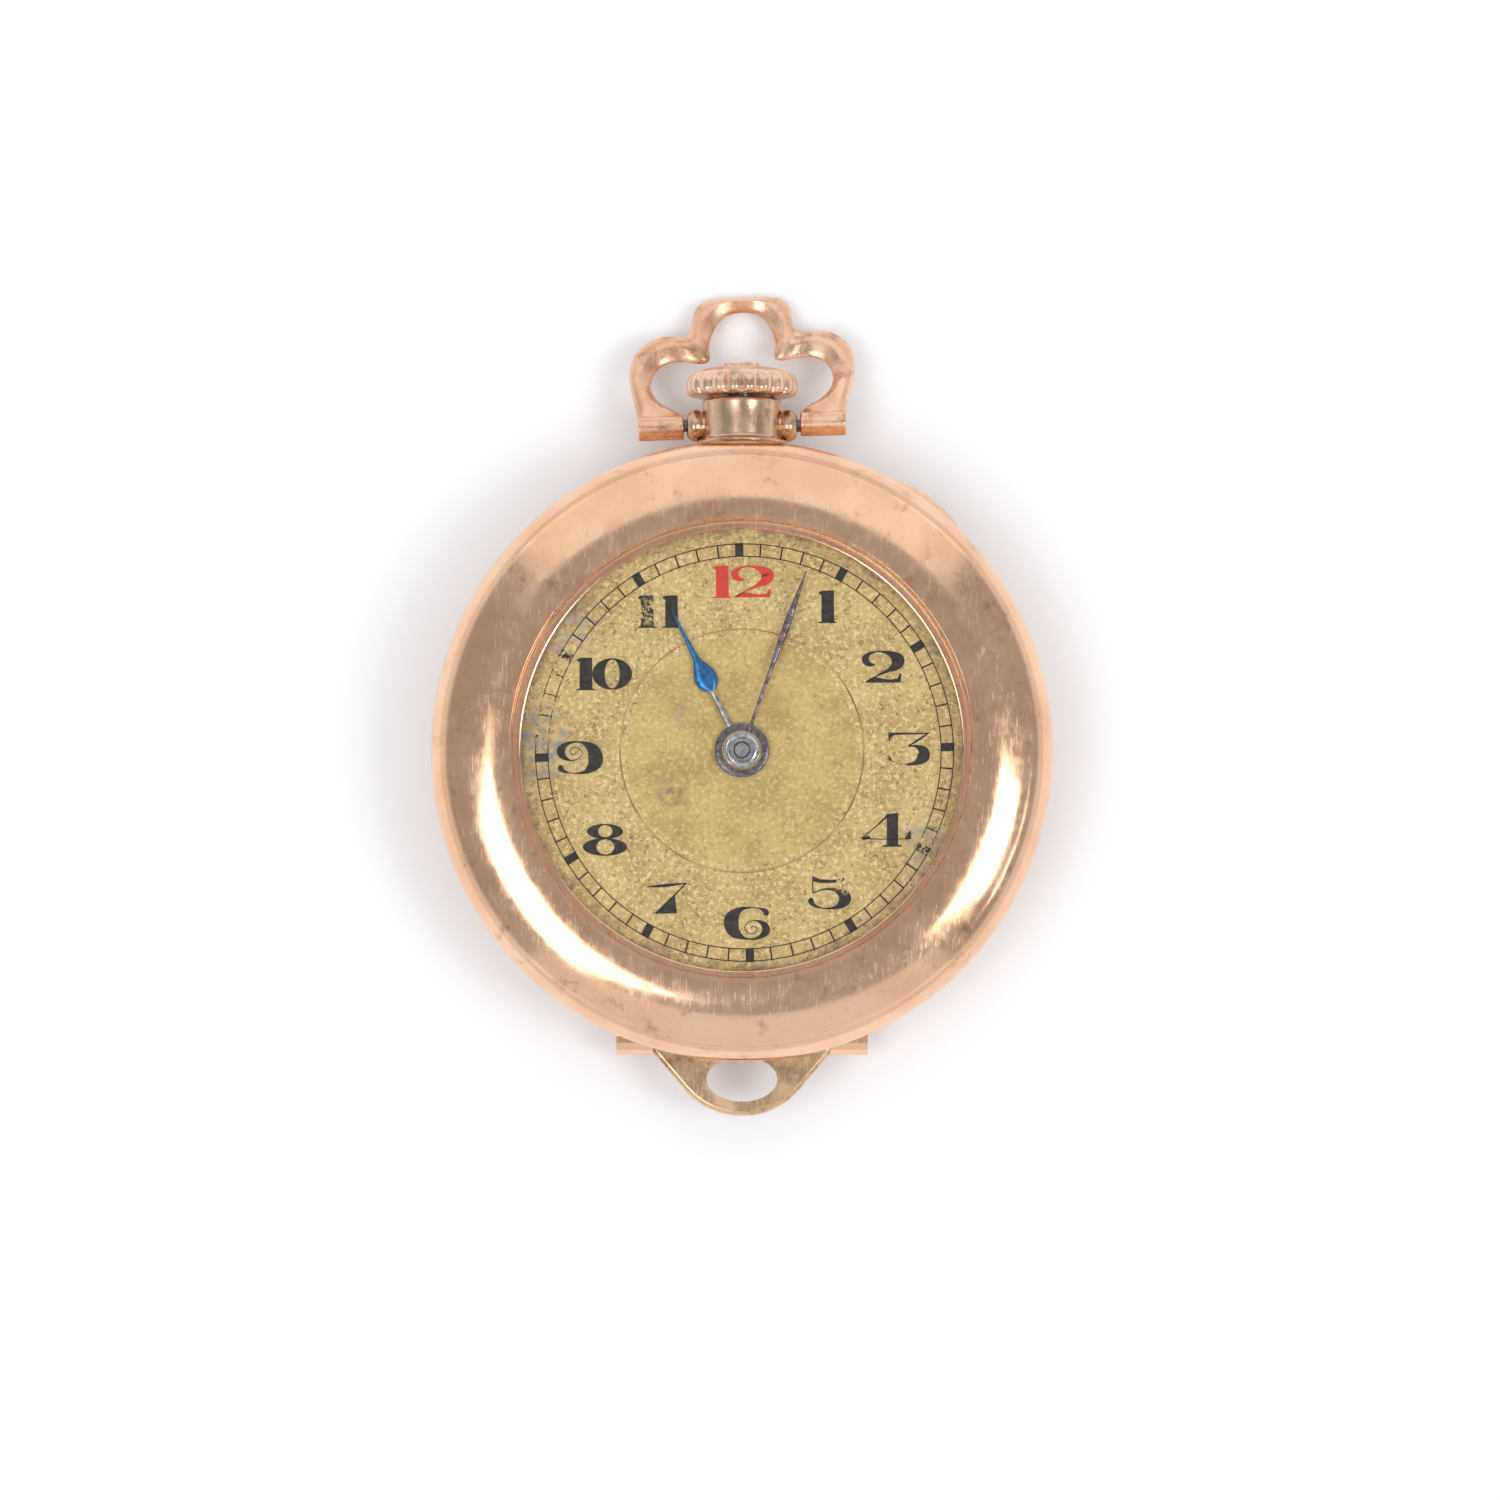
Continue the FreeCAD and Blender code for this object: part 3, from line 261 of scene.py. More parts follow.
class Nodes:
    """Short calls for building one material's node tree in millimetre object space."""

    def __init__(self, name):
        self.material = bpy.data.materials.new(name)
        self.material.use_nodes = True
        self.tree = self.material.node_tree
        self.shader = self.tree.nodes["Principled BSDF"]
        coordinates = self.tree.nodes.new("ShaderNodeTexCoord")
        self.space = self.mapped(coordinates.outputs["Object"], (1000, 1000, 1000))

    def new(self, kind, **settings):
        """A node with its settings."""
        node = self.tree.nodes.new(kind)
        for key, value in settings.items():
            setattr(node, key, value)
        return node

    def link(self, value, socket):
        """Feeds a socket from another socket or with a fixed value."""
        if isinstance(value, bpy.types.NodeSocket):
            self.tree.links.new(value, socket)
        else:
            socket.default_value = value

    def mapped(self, vector, scale=(1, 1, 1), rotation=(0, 0, 0), location=(0, 0, 0)):
        """A vector scaled, then turned, then moved."""
        node = self.new("ShaderNodeMapping")
        self.link(vector, node.inputs["Vector"])
        node.inputs["Scale"].default_value = scale
        node.inputs["Rotation"].default_value = rotation
        node.inputs["Location"].default_value = location
        return node.outputs["Vector"]

    def noise(self, scale, detail=3.0, roughness=0.55, vector=None, distortion=0.0):
        """Noise from 0 to 1; the scale is in features per millimetre."""
        node = self.new("ShaderNodeTexNoise")
        self.link(vector or self.space, node.inputs["Vector"])
        node.inputs["Scale"].default_value = scale
        node.inputs["Detail"].default_value = detail
        node.inputs["Roughness"].default_value = roughness
        node.inputs["Distortion"].default_value = distortion
        return node.outputs["Fac"]

    def ramp(self, value, low, high, from_value=0.0, to_value=1.0):
        """Maps low..high to from..to, clamped and smooth."""
        node = self.new("ShaderNodeMapRange", interpolation_type="SMOOTHSTEP")
        for key, number in zip(("Value", "From Min", "From Max", "To Min", "To Max"),
                               (value, low, high, from_value, to_value)):
            self.link(number, node.inputs[key])
        return node.outputs["Result"]

    def math(self, operation, a, b=0.0):
        """One step of arithmetic."""
        node = self.new("ShaderNodeMath", operation=operation)
        self.link(a, node.inputs[0])
        self.link(b, node.inputs[1])
        return node.outputs[0]

    def mix(self, factor, a, b):
        """A colour between a and b."""
        node = self.new("ShaderNodeMix", data_type="RGBA")
        self.link(factor, node.inputs[0])
        self.link(a, node.inputs[6])
        self.link(b, node.inputs[7])
        return node.outputs[2]

    def bump(self, height, strength, distance, normal=None):
        """A normal bent by a height field; the distance is in millimetres."""
        node = self.new("ShaderNodeBump")
        self.link(height, node.inputs["Height"])
        node.inputs["Strength"].default_value = strength
        node.inputs["Distance"].default_value = distance * MM
        if normal:
            self.link(normal, node.inputs["Normal"])
        return node.outputs["Normal"]

    def scratches(self, angle, density=26.0, along=0.9, width=0.012, seed=0.0):
        """Thin lines that run roughly along one direction of the XY plane: 1 on a line, 0 off it."""
        turned = self.mapped(self.space, rotation=(0, 0, angle), location=(seed, seed, 0))
        stretched = self.mapped(turned, scale=(along, density, along))
        field = self.noise(1.0, detail=1.0, vector=stretched, distortion=0.35)
        distance = self.math("ABSOLUTE", self.math("SUBTRACT", field, 0.5))
        line = self.ramp(distance, 0.0, width, 1.0, 0.0)
        patches = self.ramp(self.noise(0.6, detail=3.0, vector=turned), 0.5, 0.66)
        return self.math("MULTIPLY", line, patches)

    def distance(self, at=(0.0, 0.0)):
        """Millimetres from the upright line through a point of the XY plane."""
        flat = self.mapped(self.space, scale=(1, 1, 0), location=(-at[0], -at[1], 0))
        length = self.new("ShaderNodeVectorMath", operation="LENGTH")
        self.link(flat, length.inputs[0])
        return length.outputs["Value"]

    def radial(self, radius, width, at=(0.0, 0.0)):
        """1 near a circle of the given radius about a point of the XY plane, 0 away from it."""
        away = self.math("ABSOLUTE", self.math("SUBTRACT", self.distance(at), radius))
        return self.ramp(away, 0.0, width, 1.0, 0.0)

    def finish(self, **sockets):
        """Sets the shader's sockets by name (underscores for spaces) and returns the material."""
        for key, value in sockets.items():
            self.link(value, self.shader.inputs[key.replace("_", " ")])
        return self.material


def rgb(red, green, blue):
    """A linear colour from the eight-bit numbers a person reads off a screen."""
    channels = []
    for c in (red, green, blue):
        c /= 255
        channels.append(c / 12.92 if c <= 0.04045 else ((c + 0.055) / 1.055) ** 2.4)
    return (*channels, 1.0)


# More sets of scratches on worn metal: angle, density and seed
SCRATCH_SETS = [(1.3, 34.0, 11.0), (2.3, 20.0, 23.0), (2.9, 40.0, 41.0)]


def worn_metal(name, fresh, worn, dirt, roughness, scratch=0.05, pits=0.02, dirt_from=0.56):
    """Polished metal with fine scratches, handling marks and dirt in patches."""
    n = Nodes(name)
    blotch = n.ramp(n.noise(0.35, detail=5.0), 0.38, 0.66)
    speck = n.ramp(n.noise(7.0, detail=2.0), 0.66, 0.74)
    dark_patches = n.ramp(n.noise(0.9, detail=6.0, roughness=0.7), dirt_from, dirt_from + 0.16)
    colour = n.mix(blotch, fresh, worn)
    colour = n.mix(n.math("MULTIPLY", dark_patches, 0.55), colour, dirt)
    colour = n.mix(n.math("MULTIPLY", speck, 0.35), colour, dirt)
    lines = n.scratches(0.4, seed=3.0)
    for angle, density, seed in SCRATCH_SETS:
        lines = n.math("MAXIMUM", lines, n.scratches(angle, density=density, seed=seed))
    smear = n.ramp(n.noise(1.3, detail=4.0), 0.3, 0.75, roughness * 0.75, roughness * 1.5)
    streaks = n.noise(1.0, detail=4.0, vector=n.mapped(n.space, rotation=(0, 0, -0.2), scale=(16, 1.4, 5)))
    rough = n.math("ADD", smear, n.math("MULTIPLY", lines, 0.12))
    rough = n.math("ADD", rough, n.ramp(streaks, 0.5, 0.75, 0.0, 0.16))
    normal = n.bump(n.math("SUBTRACT", 1.0, lines), scratch, 0.002)
    normal = n.bump(n.noise(16.0, detail=4.0), pits, 0.02, normal)
    brushed = n.noise(1.0, detail=3.0, vector=n.mapped(n.space, rotation=(0, 0, 0.25), scale=(22, 1.6, 6)))
    normal = n.bump(brushed, 0.03, 0.008, normal)
    normal = n.bump(n.noise(0.8, detail=2.0), 0.01, 0.25, normal)
    return n.finish(Base_Color=colour, Metallic=1.0, Roughness=rough, Normal=normal)


def rose_gold():
    """The case's polished rose gold."""
    return worn_metal("rose_gold", rgb(247, 203, 168), rgb(238, 191, 154), rgb(178, 130, 98), 0.13)


def bow_metal():
    """The bow's gold, duller and dirtier than the case's."""
    return worn_metal("bow_metal", rgb(248, 204, 172), rgb(236, 186, 152), rgb(156, 112, 82), 0.27,
                      scratch=0.08, pits=0.06, dirt_from=0.5)


def worn_brass():
    """The neck, where the gold has worn thin."""
    return worn_metal("worn_brass", rgb(220, 186, 158), rgb(202, 170, 140), rgb(124, 94, 72), 0.22,
                      scratch=0.08, pits=0.06, dirt_from=0.5)


def lug_brass():
    """The lug, worn to the brass and dirty."""
    return worn_metal("lug_brass", rgb(232, 194, 156), rgb(212, 176, 136), rgb(112, 84, 58), 0.26,
                      scratch=0.08, pits=0.08, dirt_from=0.46)


def crown_gold():
    """The crown's gold, a little paler."""
    return worn_metal("crown_gold", rgb(246, 208, 180), rgb(232, 192, 162), rgb(156, 116, 90), 0.22,
                      scratch=0.05, pits=0.05, dirt_from=0.52)


def circle_gilt():
    """The darker gilt of the dial's raised circle."""
    return worn_metal("circle_gilt", rgb(214, 160, 106), rgb(150, 96, 60), rgb(110, 66, 44), 0.35)


# The dial's stains: centre and reach in mm, tint and strength
DIAL_STAINS = [
    ((-9.3, 0.3), 2.8, rgb(120, 124, 134), 0.85),
    ((-7.9, 5.4), 2.4, rgb(150, 152, 160), 0.55),
    ((8.2, -4.2), 1.7, rgb(120, 124, 142), 0.6),
    ((-3.2, -1.9), 1.1, rgb(124, 92, 82), 0.8),
    ((-2.6, 1.6), 0.9, rgb(140, 130, 128), 0.5),
    ((1.6, 2.2), 1.3, rgb(168, 122, 62), 0.5),
]


def dial_brass():
    """Frosted gilt brass, smoother inside the small circle, with tarnish, dirt, scratches and painted shade
    round its rim.
    """
    n = Nodes("dial_brass")
    inner = n.ramp(n.radial(0.0, GILT_CIRCLE), 0.0, 0.012)
    cloud = n.ramp(n.noise(0.55, detail=5.0), 0.36, 0.68)
    outer_gold = n.mix(cloud, rgb(202, 178, 118), rgb(182, 156, 96))
    inner_gold = n.mix(cloud, rgb(196, 170, 102), rgb(172, 146, 82))
    colour = n.mix(inner, outer_gold, inner_gold)
    grain = n.noise(4.6, detail=4.0, roughness=0.8)
    coarse = n.ramp(inner, 0.0, 1.0, 0.8, 0.4)
    light_grain = n.math("MULTIPLY", n.ramp(grain, 0.5, 0.6), coarse)
    colour = n.mix(light_grain, colour, rgb(234, 214, 158))
    dark_field = n.noise(5.0, detail=5.0, roughness=0.8, vector=n.mapped(n.space, location=(31, 7, 0)))
    dark_grain = n.math("MULTIPLY", n.ramp(dark_field, 0.53, 0.63), coarse)
    colour = n.mix(dark_grain, colour, rgb(120, 92, 46))
    rust = n.ramp(n.noise(3.2, detail=3.0, vector=n.mapped(n.space, location=(5, 19, 0))), 0.66, 0.74)
    colour = n.mix(n.math("MULTIPLY", rust, 0.6), colour, rgb(150, 92, 58))
    # Darker patches round the dial's rim under the bezel: dirt, and painted shade where the bezel's lip
    # shades the dial
    edge = n.radial(DIAL_EDGE, 1.0)
    dark_patches = n.math("MULTIPLY", edge, n.ramp(n.noise(1.5, detail=6.0, roughness=0.7), 0.45, 0.62))
    colour = n.mix(n.math("MULTIPLY", dark_patches, 0.7), colour, rgb(120, 104, 84))
    for at, reach, tint, strength in DIAL_STAINS:
        spot = n.ramp(n.radial(0.0, reach, at), 0.0, 0.8)
        patch = n.math("MULTIPLY", spot, n.ramp(n.noise(2.3, detail=5.0, roughness=0.7), 0.44, 0.6))
        colour = n.mix(n.math("MULTIPLY", patch, strength), colour, tint)
    lines = n.scratches(0.9, density=14.0, along=0.35, width=0.008, seed=8.0)
    lines = n.math("MAXIMUM", lines, n.scratches(2.2, density=18.0, along=0.4, width=0.008, seed=31.0))
    colour = n.mix(n.math("MULTIPLY", lines, 0.45), colour, rgb(236, 216, 158))
    frost = n.ramp(inner, 0.0, 1.0, 0.75, 0.3)
    normal = n.bump(n.math("MULTIPLY", grain, frost), 0.55, 0.05)
    normal = n.bump(n.math("SUBTRACT", 1.0, lines), 0.4, 0.01, normal)
    normal = n.bump(n.noise(0.9, detail=3.0), 0.12, 0.2, normal)
    rough = n.ramp(inner, 0.0, 1.0, 0.62, 0.48)
    return n.finish(Base_Color=colour, Metallic=0.35, Roughness=rough, Normal=normal)


# Where the black print has worn most: centre and reach, mm
WORN_PRINT = [((-4.3, 6.3), 0.9), ((6.9, -0.6), 0.8), ((4.6, -6.0), 0.7), ((-9.0, 1.5), 1.9),
              ((-8.5, 4.0), 1.5), ((8.6, -4.2), 1.2)]


def ink(name, colour, faded, wear, worn_spots=()):
    """Enamel print that has flaked off to the gilt in places."""
    n = Nodes(name)
    flake = n.noise(5.5, detail=5.0, roughness=0.7)
    worn = n.ramp(flake, wear, wear + 0.05)
    for at, reach in worn_spots:
        near = n.ramp(n.radial(0.0, reach, at), 0.0, 0.7)
        worn = n.math("MAXIMUM", worn, n.math("MULTIPLY", near, n.ramp(flake, 0.47, 0.54)))
    tone = n.mix(n.ramp(n.noise(3.0, detail=3.0), 0.35, 0.7), colour, faded)
    tone = n.mix(worn, tone, rgb(196, 174, 116))
    normal = n.bump(flake, 0.2, 0.02)
    return n.finish(Base_Color=tone, Roughness=0.5, Normal=normal, Specular_IOR_Level=0.2)


def blued_hand():
    """Heat-blued steel that has lost its colour towards the hub."""
    n = Nodes("blued_hand")
    far = n.ramp(n.distance(), 2.85, 3.15)
    blotch = n.ramp(n.noise(4.0, detail=4.0), 0.35, 0.7)
    blue = n.mix(blotch, rgb(34, 124, 186), rgb(22, 78, 132))
    bare = n.mix(blotch, rgb(190, 190, 192), rgb(128, 122, 124))
    normal = n.bump(n.noise(12.0, detail=3.0), 0.08, 0.01)
    return n.finish(Base_Color=n.mix(far, bare, blue), Metallic=0.75, Roughness=0.26, Normal=normal)


def tarnished_hand():
    """A steel hand whose blue has turned purple brown."""
    n = Nodes("tarnished_hand")
    blotch = n.ramp(n.noise(2.2, detail=5.0, roughness=0.7), 0.4, 0.62)
    colour = n.mix(blotch, rgb(92, 76, 84), rgb(150, 138, 146))
    colour = n.mix(n.ramp(n.noise(7.0, detail=2.0), 0.6, 0.7), colour, rgb(88, 58, 44))
    rough = n.ramp(blotch, 0.0, 1.0, 0.42, 0.24)
    return n.finish(Base_Color=colour, Metallic=0.85, Roughness=rough, Normal=n.bump(blotch, 0.1, 0.01))


def steel(name, light, dark, roughness, mottle=3.0):
    """Steel with a fine turned grain and mottled oxide."""
    n = Nodes(name)
    blotch = n.ramp(n.noise(mottle, detail=5.0, roughness=0.7), 0.4, 0.64)
    grain = n.noise(1.0, detail=2.0, vector=n.mapped(n.space, scale=(3, 30, 30)))
    rough = n.ramp(grain, 0.3, 0.7, roughness * 0.8, roughness * 1.3)
    normal = n.bump(grain, 0.06, 0.006)
    return n.finish(Base_Color=n.mix(blotch, light, dark), Metallic=1.0, Roughness=rough, Normal=normal)


def nickel_plate():
    """Nickelled plates with straight Geneva stripes."""
    n = Nodes("nickel_plate")
    wave = n.new("ShaderNodeTexWave", wave_type="BANDS", bands_direction="DIAGONAL", wave_profile="SAW")
    n.link(n.space, wave.inputs["Vector"])
    wave.inputs["Scale"].default_value = 0.17
    wave.inputs["Distortion"].default_value = 0.0
    fine = n.noise(1.0, detail=2.0, vector=n.mapped(n.space, rotation=(0, 0, 0.8), scale=(40, 2, 20)))
    colour = n.mix(n.ramp(n.noise(0.8, detail=5.0), 0.4, 0.7), rgb(214, 208, 198), rgb(188, 180, 166))
    colour = n.mix(n.ramp(wave.outputs["Fac"], 0.0, 1.0, 0.0, 0.25), colour, rgb(236, 232, 224))
    normal = n.bump(wave.outputs["Fac"], 0.25, 0.03)
    normal = n.bump(fine, 0.05, 0.006, normal)
    rough = n.ramp(fine, 0.3, 0.7, 0.2, 0.34)
    return n.finish(Base_Color=colour, Metallic=1.0, Roughness=rough, Normal=normal)


def wheel_brass():
    """Gilt brass wheels with a fine grain and a little tarnish."""
    n = Nodes("wheel_brass")
    tarnish = n.ramp(n.noise(1.6, detail=5.0), 0.42, 0.7)
    grain = n.noise(1.0, detail=2.0, vector=n.mapped(n.space, scale=(26, 3, 26)))
    colour = n.mix(tarnish, rgb(226, 186, 106), rgb(190, 148, 78))
    rough = n.ramp(grain, 0.3, 0.7, 0.2, 0.36)
    return n.finish(Base_Color=colour, Metallic=1.0, Roughness=rough, Normal=n.bump(grain, 0.06, 0.006))


def ruby():
    """Clear red jewel stone, a little clouded."""
    n = Nodes("ruby")
    cloud = n.ramp(n.noise(5.0, detail=3.0), 0.3, 0.7)
    colour = n.mix(cloud, rgb(196, 24, 62), rgb(150, 10, 44))
    return n.finish(Base_Color=colour, Roughness=0.06, Normal=n.bump(cloud, 0.03, 0.01),
                    Specular_IOR_Level=0.8, Coat_Weight=0.6)


def watch_glass():
    """A very clear crystal that only shows towards its edge and where it mirrors a light."""
    n = Nodes("watch_glass")
    facing = n.new("ShaderNodeLayerWeight")
    facing.inputs["Blend"].default_value = 0.25
    veil = n.ramp(n.noise(1.2, detail=5.0), 0.5, 0.8, 0.0, 0.012)
    alpha = n.math("ADD", veil, n.ramp(facing.outputs["Facing"], 0.35, 1.0, 0.012, 0.3))
    colour = n.mix(veil, rgb(252, 252, 250), rgb(226, 224, 216))
    return n.finish(Base_Color=colour, Alpha=alpha, Roughness=0.02, IOR=1.45)


def floor_white():
    """The white table, very faintly clouded."""
    n = Nodes("floor_white")
    cloud = n.noise(0.02, detail=2.0)
    return n.finish(Base_Color=n.mix(cloud, rgb(250, 252, 255), rgb(247, 249, 253)), Roughness=0.9)


GOLD = rose_gold()
BOW = bow_metal()
WORN = worn_brass()
LUG = lug_brass()
CROWN = crown_gold()
CIRCLE = circle_gilt()
DIAL = dial_brass()
STEEL = steel("steel", rgb(196, 196, 200), rgb(140, 138, 140), 0.22)
DARK_STEEL = steel("dark_steel", rgb(124, 120, 126), rgb(84, 76, 78), 0.3, mottle=5.0)
BLUED = steel("blued_steel", rgb(38, 58, 128), rgb(24, 36, 84), 0.2)
SPRING = steel("spring_steel", rgb(120, 118, 122), rgb(82, 80, 86), 0.28)
NICKEL = nickel_plate()
BRASS = wheel_brass()
RUBY = ruby()
GLASS = watch_glass()
BLUED_HAND = blued_hand()
TARNISHED = tarnished_hand()
BLACK_INK = ink("black_ink", rgb(24, 20, 19), rgb(50, 43, 38), 0.7, WORN_PRINT)
RED_INK = ink("red_ink", rgb(214, 52, 42), rgb(186, 58, 44), 0.66)

# The finish of each slot, and of the two CAD nodes that differ from their slot
SLOT_MATERIALS = {"rose_gold": GOLD, "worn_brass": WORN, "bow_metal": BOW, "dial_brass": DIAL,
                  "wheel_brass": BRASS, "nickel_plate": NICKEL, "steel": STEEL, "blued_steel": BLUED,
                  "spring_steel": SPRING, "ruby": RUBY, "crystal": GLASS}
NODE_MATERIALS = {"bow_pins": DARK_STEEL, "bottom_lug": LUG}


def dress_cad_nodes():
    """Gives every CAD node its finish."""
    slots = {part["node"]: part["material_slot"] for part in record["subparts"]}
    for name, node in frame["nodes"].items():
        material = NODE_MATERIALS.get(name, SLOT_MATERIALS[slots[name]])
        for index in range(len(node.data.materials)):
            node.data.materials[index] = material


# ---------------------------------------------------------------- case

# Turned outlines are (radius, height) corners in mm; four numbers are an arc's end and a point on its way.
# The bezel's inner lip goes down in fine turned steps.
BEZEL_PROFILE = [
    (9.95, 6.42), (9.95, 5.85), (10.7, 5.85), (10.7, 5.4), (12.25, 5.4), (12.25, 6.05), (12.95, 6.05),
    (12.95, 5.4), (13.42, 5.4), (14.0, 6.0, 13.84, 5.6), (12.97, 7.22, 13.74, 6.65),
    (10.55, 7.72, 11.9, 7.585), (10.5, 7.718), (10.49, 7.69), (10.44, 7.687), (10.43, 7.64),
    (10.36, 7.637), (10.35, 7.6), (10.31, 7.597), (10.3, 7.45), (10.28, 7.4), (10.28, 6.56),
    (10.22, 6.5), (10.12, 6.5), (10.1, 6.47), (10.04, 6.47), (10.02, 6.5), (9.98, 6.49),
]
# The pendant tube's height runs along the stem, a bead's along the bow's pin
TUBE_PROFILE = [
    (0.95, 12.95), (1.8, 12.95), (1.8, 13.98), (2.02, 14.05, 1.93, 13.98), (2.02, 14.22, 2.06, 14.14),
    (1.82, 14.48, 1.86, 14.3), (1.78, 15.15), (1.8, 15.9), (1.62, 16.1, 1.76, 16.06), (0.95, 16.1),
]
BEAD_PROFILE = [
    (0.3, 1.55), (0.62, 1.55), (0.6, 1.78), (0.7, 1.98, 0.64, 1.84), (0.62, 2.38, 0.72, 2.2),
    (0.45, 2.49, 0.56, 2.46), (0.3, 2.49),
]


def bezel():
    """The wide rounded bezel."""
    ring = lathe("bezel_ring", BEZEL_PROFILE, GOLD, segments=256, steps=22)
    place(sharpen(ring, 40), "case", "rose_gold", "bezel")


def neck():
    """The pendant tube with its flared foot and the two beads that hold the bow's pins."""
    pieces = [turn_to_stem(lathe("pendant_tube", TUBE_PROFILE, WORN, segments=96, steps=6))]
    for side in (-1, 1):
        bead = lathe("bead", BEAD_PROFILE, WORN, segments=48, steps=5)
        bead.data.transform(BOW_PIVOT @ to_side(side))
        pieces.append(bead)
    place(sharpen(join(pieces, "pendant"), 38), "case", "worn_brass", "pendant_neck")


# The trefoil's right half in its own plane: pairs of an outside and an inside point from arch to barrel
BOW_STATIONS = [
    ((0, 6.65), (0, 6.03)), ((0.65, 6.68), (0.5, 5.96)), ((1.25, 6.66), (0.93, 5.67)),
    ((1.72, 6.58), (1.2, 5.31)), ((2.05, 6.34), (1.37, 4.92)), ((2.2, 6.03), (1.47, 4.53)),
    ((2.27, 5.65), (1.51, 4.14)), ((2.32, 5.24), (1.47, 3.78)), ((2.4, 4.97), (1.52, 3.49)),
    ((2.55, 4.8), (1.76, 3.37)), ((2.8, 4.74), (2.08, 3.39)), ((3.12, 4.77), (2.5, 3.49)),
    ((3.5, 4.8), (2.95, 3.52)), ((3.95, 4.71), (3.35, 3.44)), ((4.4, 4.48), (3.72, 3.24)),
    ((4.78, 4.09), (3.98, 2.92)), ((5.03, 3.58), (4.12, 2.54)), ((5.13, 2.98), (4.13, 2.13)),
    ((5.1, 2.35), (4, 1.75)), ((4.98, 1.71), (3.76, 1.41)), ((4.86, 1.17), (3.4, 1.13)),
    ((4.78, 0.75), (3.02, 0.92)), ((4.73, 0.37), (2.76, 0.64)), ((4.7, 0.11), (2.7, 0.32)),
]
# Across the strip: share of the way from outside to inside, and height above the middle plane
BOW_SECTION = [(0.0, 0.0), (0.02, 0.2), (0.1, 0.33), (0.28, 0.42), (0.46, 0.44), (0.6, 0.36), (0.8, 0.2),
               (0.95, 0.1), (1.0, 0.0)]


# One of the bow's two barrels, its height along the pin
BARREL_PROFILE = [
    (0.31, 2.66), (0.5, 2.66), (0.56, 2.72, 0.545, 2.675), (0.57, 4.6), (0.5, 4.72, 0.55, 4.69),
    (0.0, 4.73), (0.0, 4.4), (0.31, 4.4),
]
# The crown, its height along the stem: a domed knob with a small cap
CROWN_PROFILE = [
    (0.6, 16.45), (1.5, 16.45), (1.5, 16.23), (2.2, 16.23), (2.55, 16.55, 2.47, 16.31), (2.55, 16.77),
    (2.03, 17.32, 2.4, 17.11), (0.86, 17.57, 1.46, 17.51), (0.8, 17.59), (0.8, 17.7), (0.74, 17.74),
    (0.0, 17.74), (0.0, 17.15), (0.6, 17.15),
]


def bow():
    """The cast trefoil: a flat outer facet, a ridge and a hollow inner bevel on both faces."""
    right = smooth_path([outside + inside for outside, inside in BOW_STATIONS], 5)
    left = [(-ox, oy, -ix, iy) for ox, oy, ix, iy in reversed(right[1:])]
    loop = BOW_SECTION + [(share, -z) for share, z in reversed(BOW_SECTION[1:-1])]
    rings = []
    for ox, oy, ix, iy in left + right:
        ring = []
        for share, z in loop:
            x, y = ox + (ix - ox) * share, oy + (iy - oy) * share
            ring.append((x, y + BOW_SKEW * x, z))
        rings.append(ring)
    pieces = [loft("trefoil", rings, BOW)]
    for side in (-1, 1):
        barrel = lathe("barrel", BARREL_PROFILE, BOW, segments=64, steps=4)
        barrel.data.transform(Matrix.Rotation(BOW_LEAN, 4, "Z") @ to_side(side))
        pieces.append(barrel)
    whole = join(pieces, "trefoil_bow")
    whole.data.transform(BOW_PIVOT @ Matrix.Rotation(BOW_DROOP, 4, "X"))
    place(sharpen(whole, 34), "bow", "bow_metal", "bow")


def ribbed(r, z, angle):
    """The crown's radius under rounded ribs that fade out at its base and at its shoulder."""
    if r <= RIB_FROM_RADIUS:
        return r
    height = (z - CROWN_BASE) / (CROWN_SHOULDER - CROWN_BASE)
    fade_in = max(0.0, min(1.0, height / RIB_FADE_IN))
    fade_out = max(0.0, min(1.0, (RIB_END - height) / RIB_FADE_OUT))
    wave = abs(math.sin(angle * RIBS / 2)) ** 0.75
    return r - RIB_DEPTH * (fade_in * fade_out) ** 0.6 * (1 - wave)


def crown():
    """The fluted winding crown."""
    knob = lathe("winding_crown", CROWN_PROFILE, CROWN, segments=400, steps=14, radius_at=ribbed)
    place(sharpen(turn_to_stem(knob), 60), "stem", "bow_metal", "crown")


# ---------------------------------------------------------------- hands

# Stations along an arm: distance from the centre, half width and height
HOUR_STATIONS = [
    (1.05, 0.13, 0.1), (2.0, 0.12, 0.1), (2.85, 0.13, 0.1), (3.02, 0.2, 0.11), (3.2, 0.38, 0.115),
    (3.45, 0.49, 0.12), (3.75, 0.5, 0.12), (4.1, 0.38, 0.12), (4.5, 0.19, 0.12), (4.9, 0.13, 0.11),
    (5.8, 0.085, 0.1), (6.6, 0.05, 0.08), (7.08, 0.015, 0.05),
]
MINUTE_STATIONS = [
    (0.7, 0.08, 0.1), (2.0, 0.07, 0.1), (4.0, 0.1, 0.11), (5.5, 0.16, 0.12), (6.2, 0.165, 0.12),
    (7.3, 0.1, 0.1), (8.1, 0.05, 0.08), (8.63, 0.015, 0.05),
]
HOUR_HUB = [
    (0.91, HOUR_Z), (1.18, HOUR_Z), (1.22, 6.0, 1.21, 5.97), (1.2, 6.06, 1.22, 6.04), (1.08, 6.08),
    (0.91, 6.08),
]
MINUTE_HUB = [
    (0.575, MINUTE_Z), (0.78, MINUTE_Z), (0.84, 6.29, 0.82, 6.25), (0.76, 6.36, 0.82, 6.35),
    (0.66, 6.33, 0.71, 6.36), (0.6, 6.35), (0.575, 6.33),
]


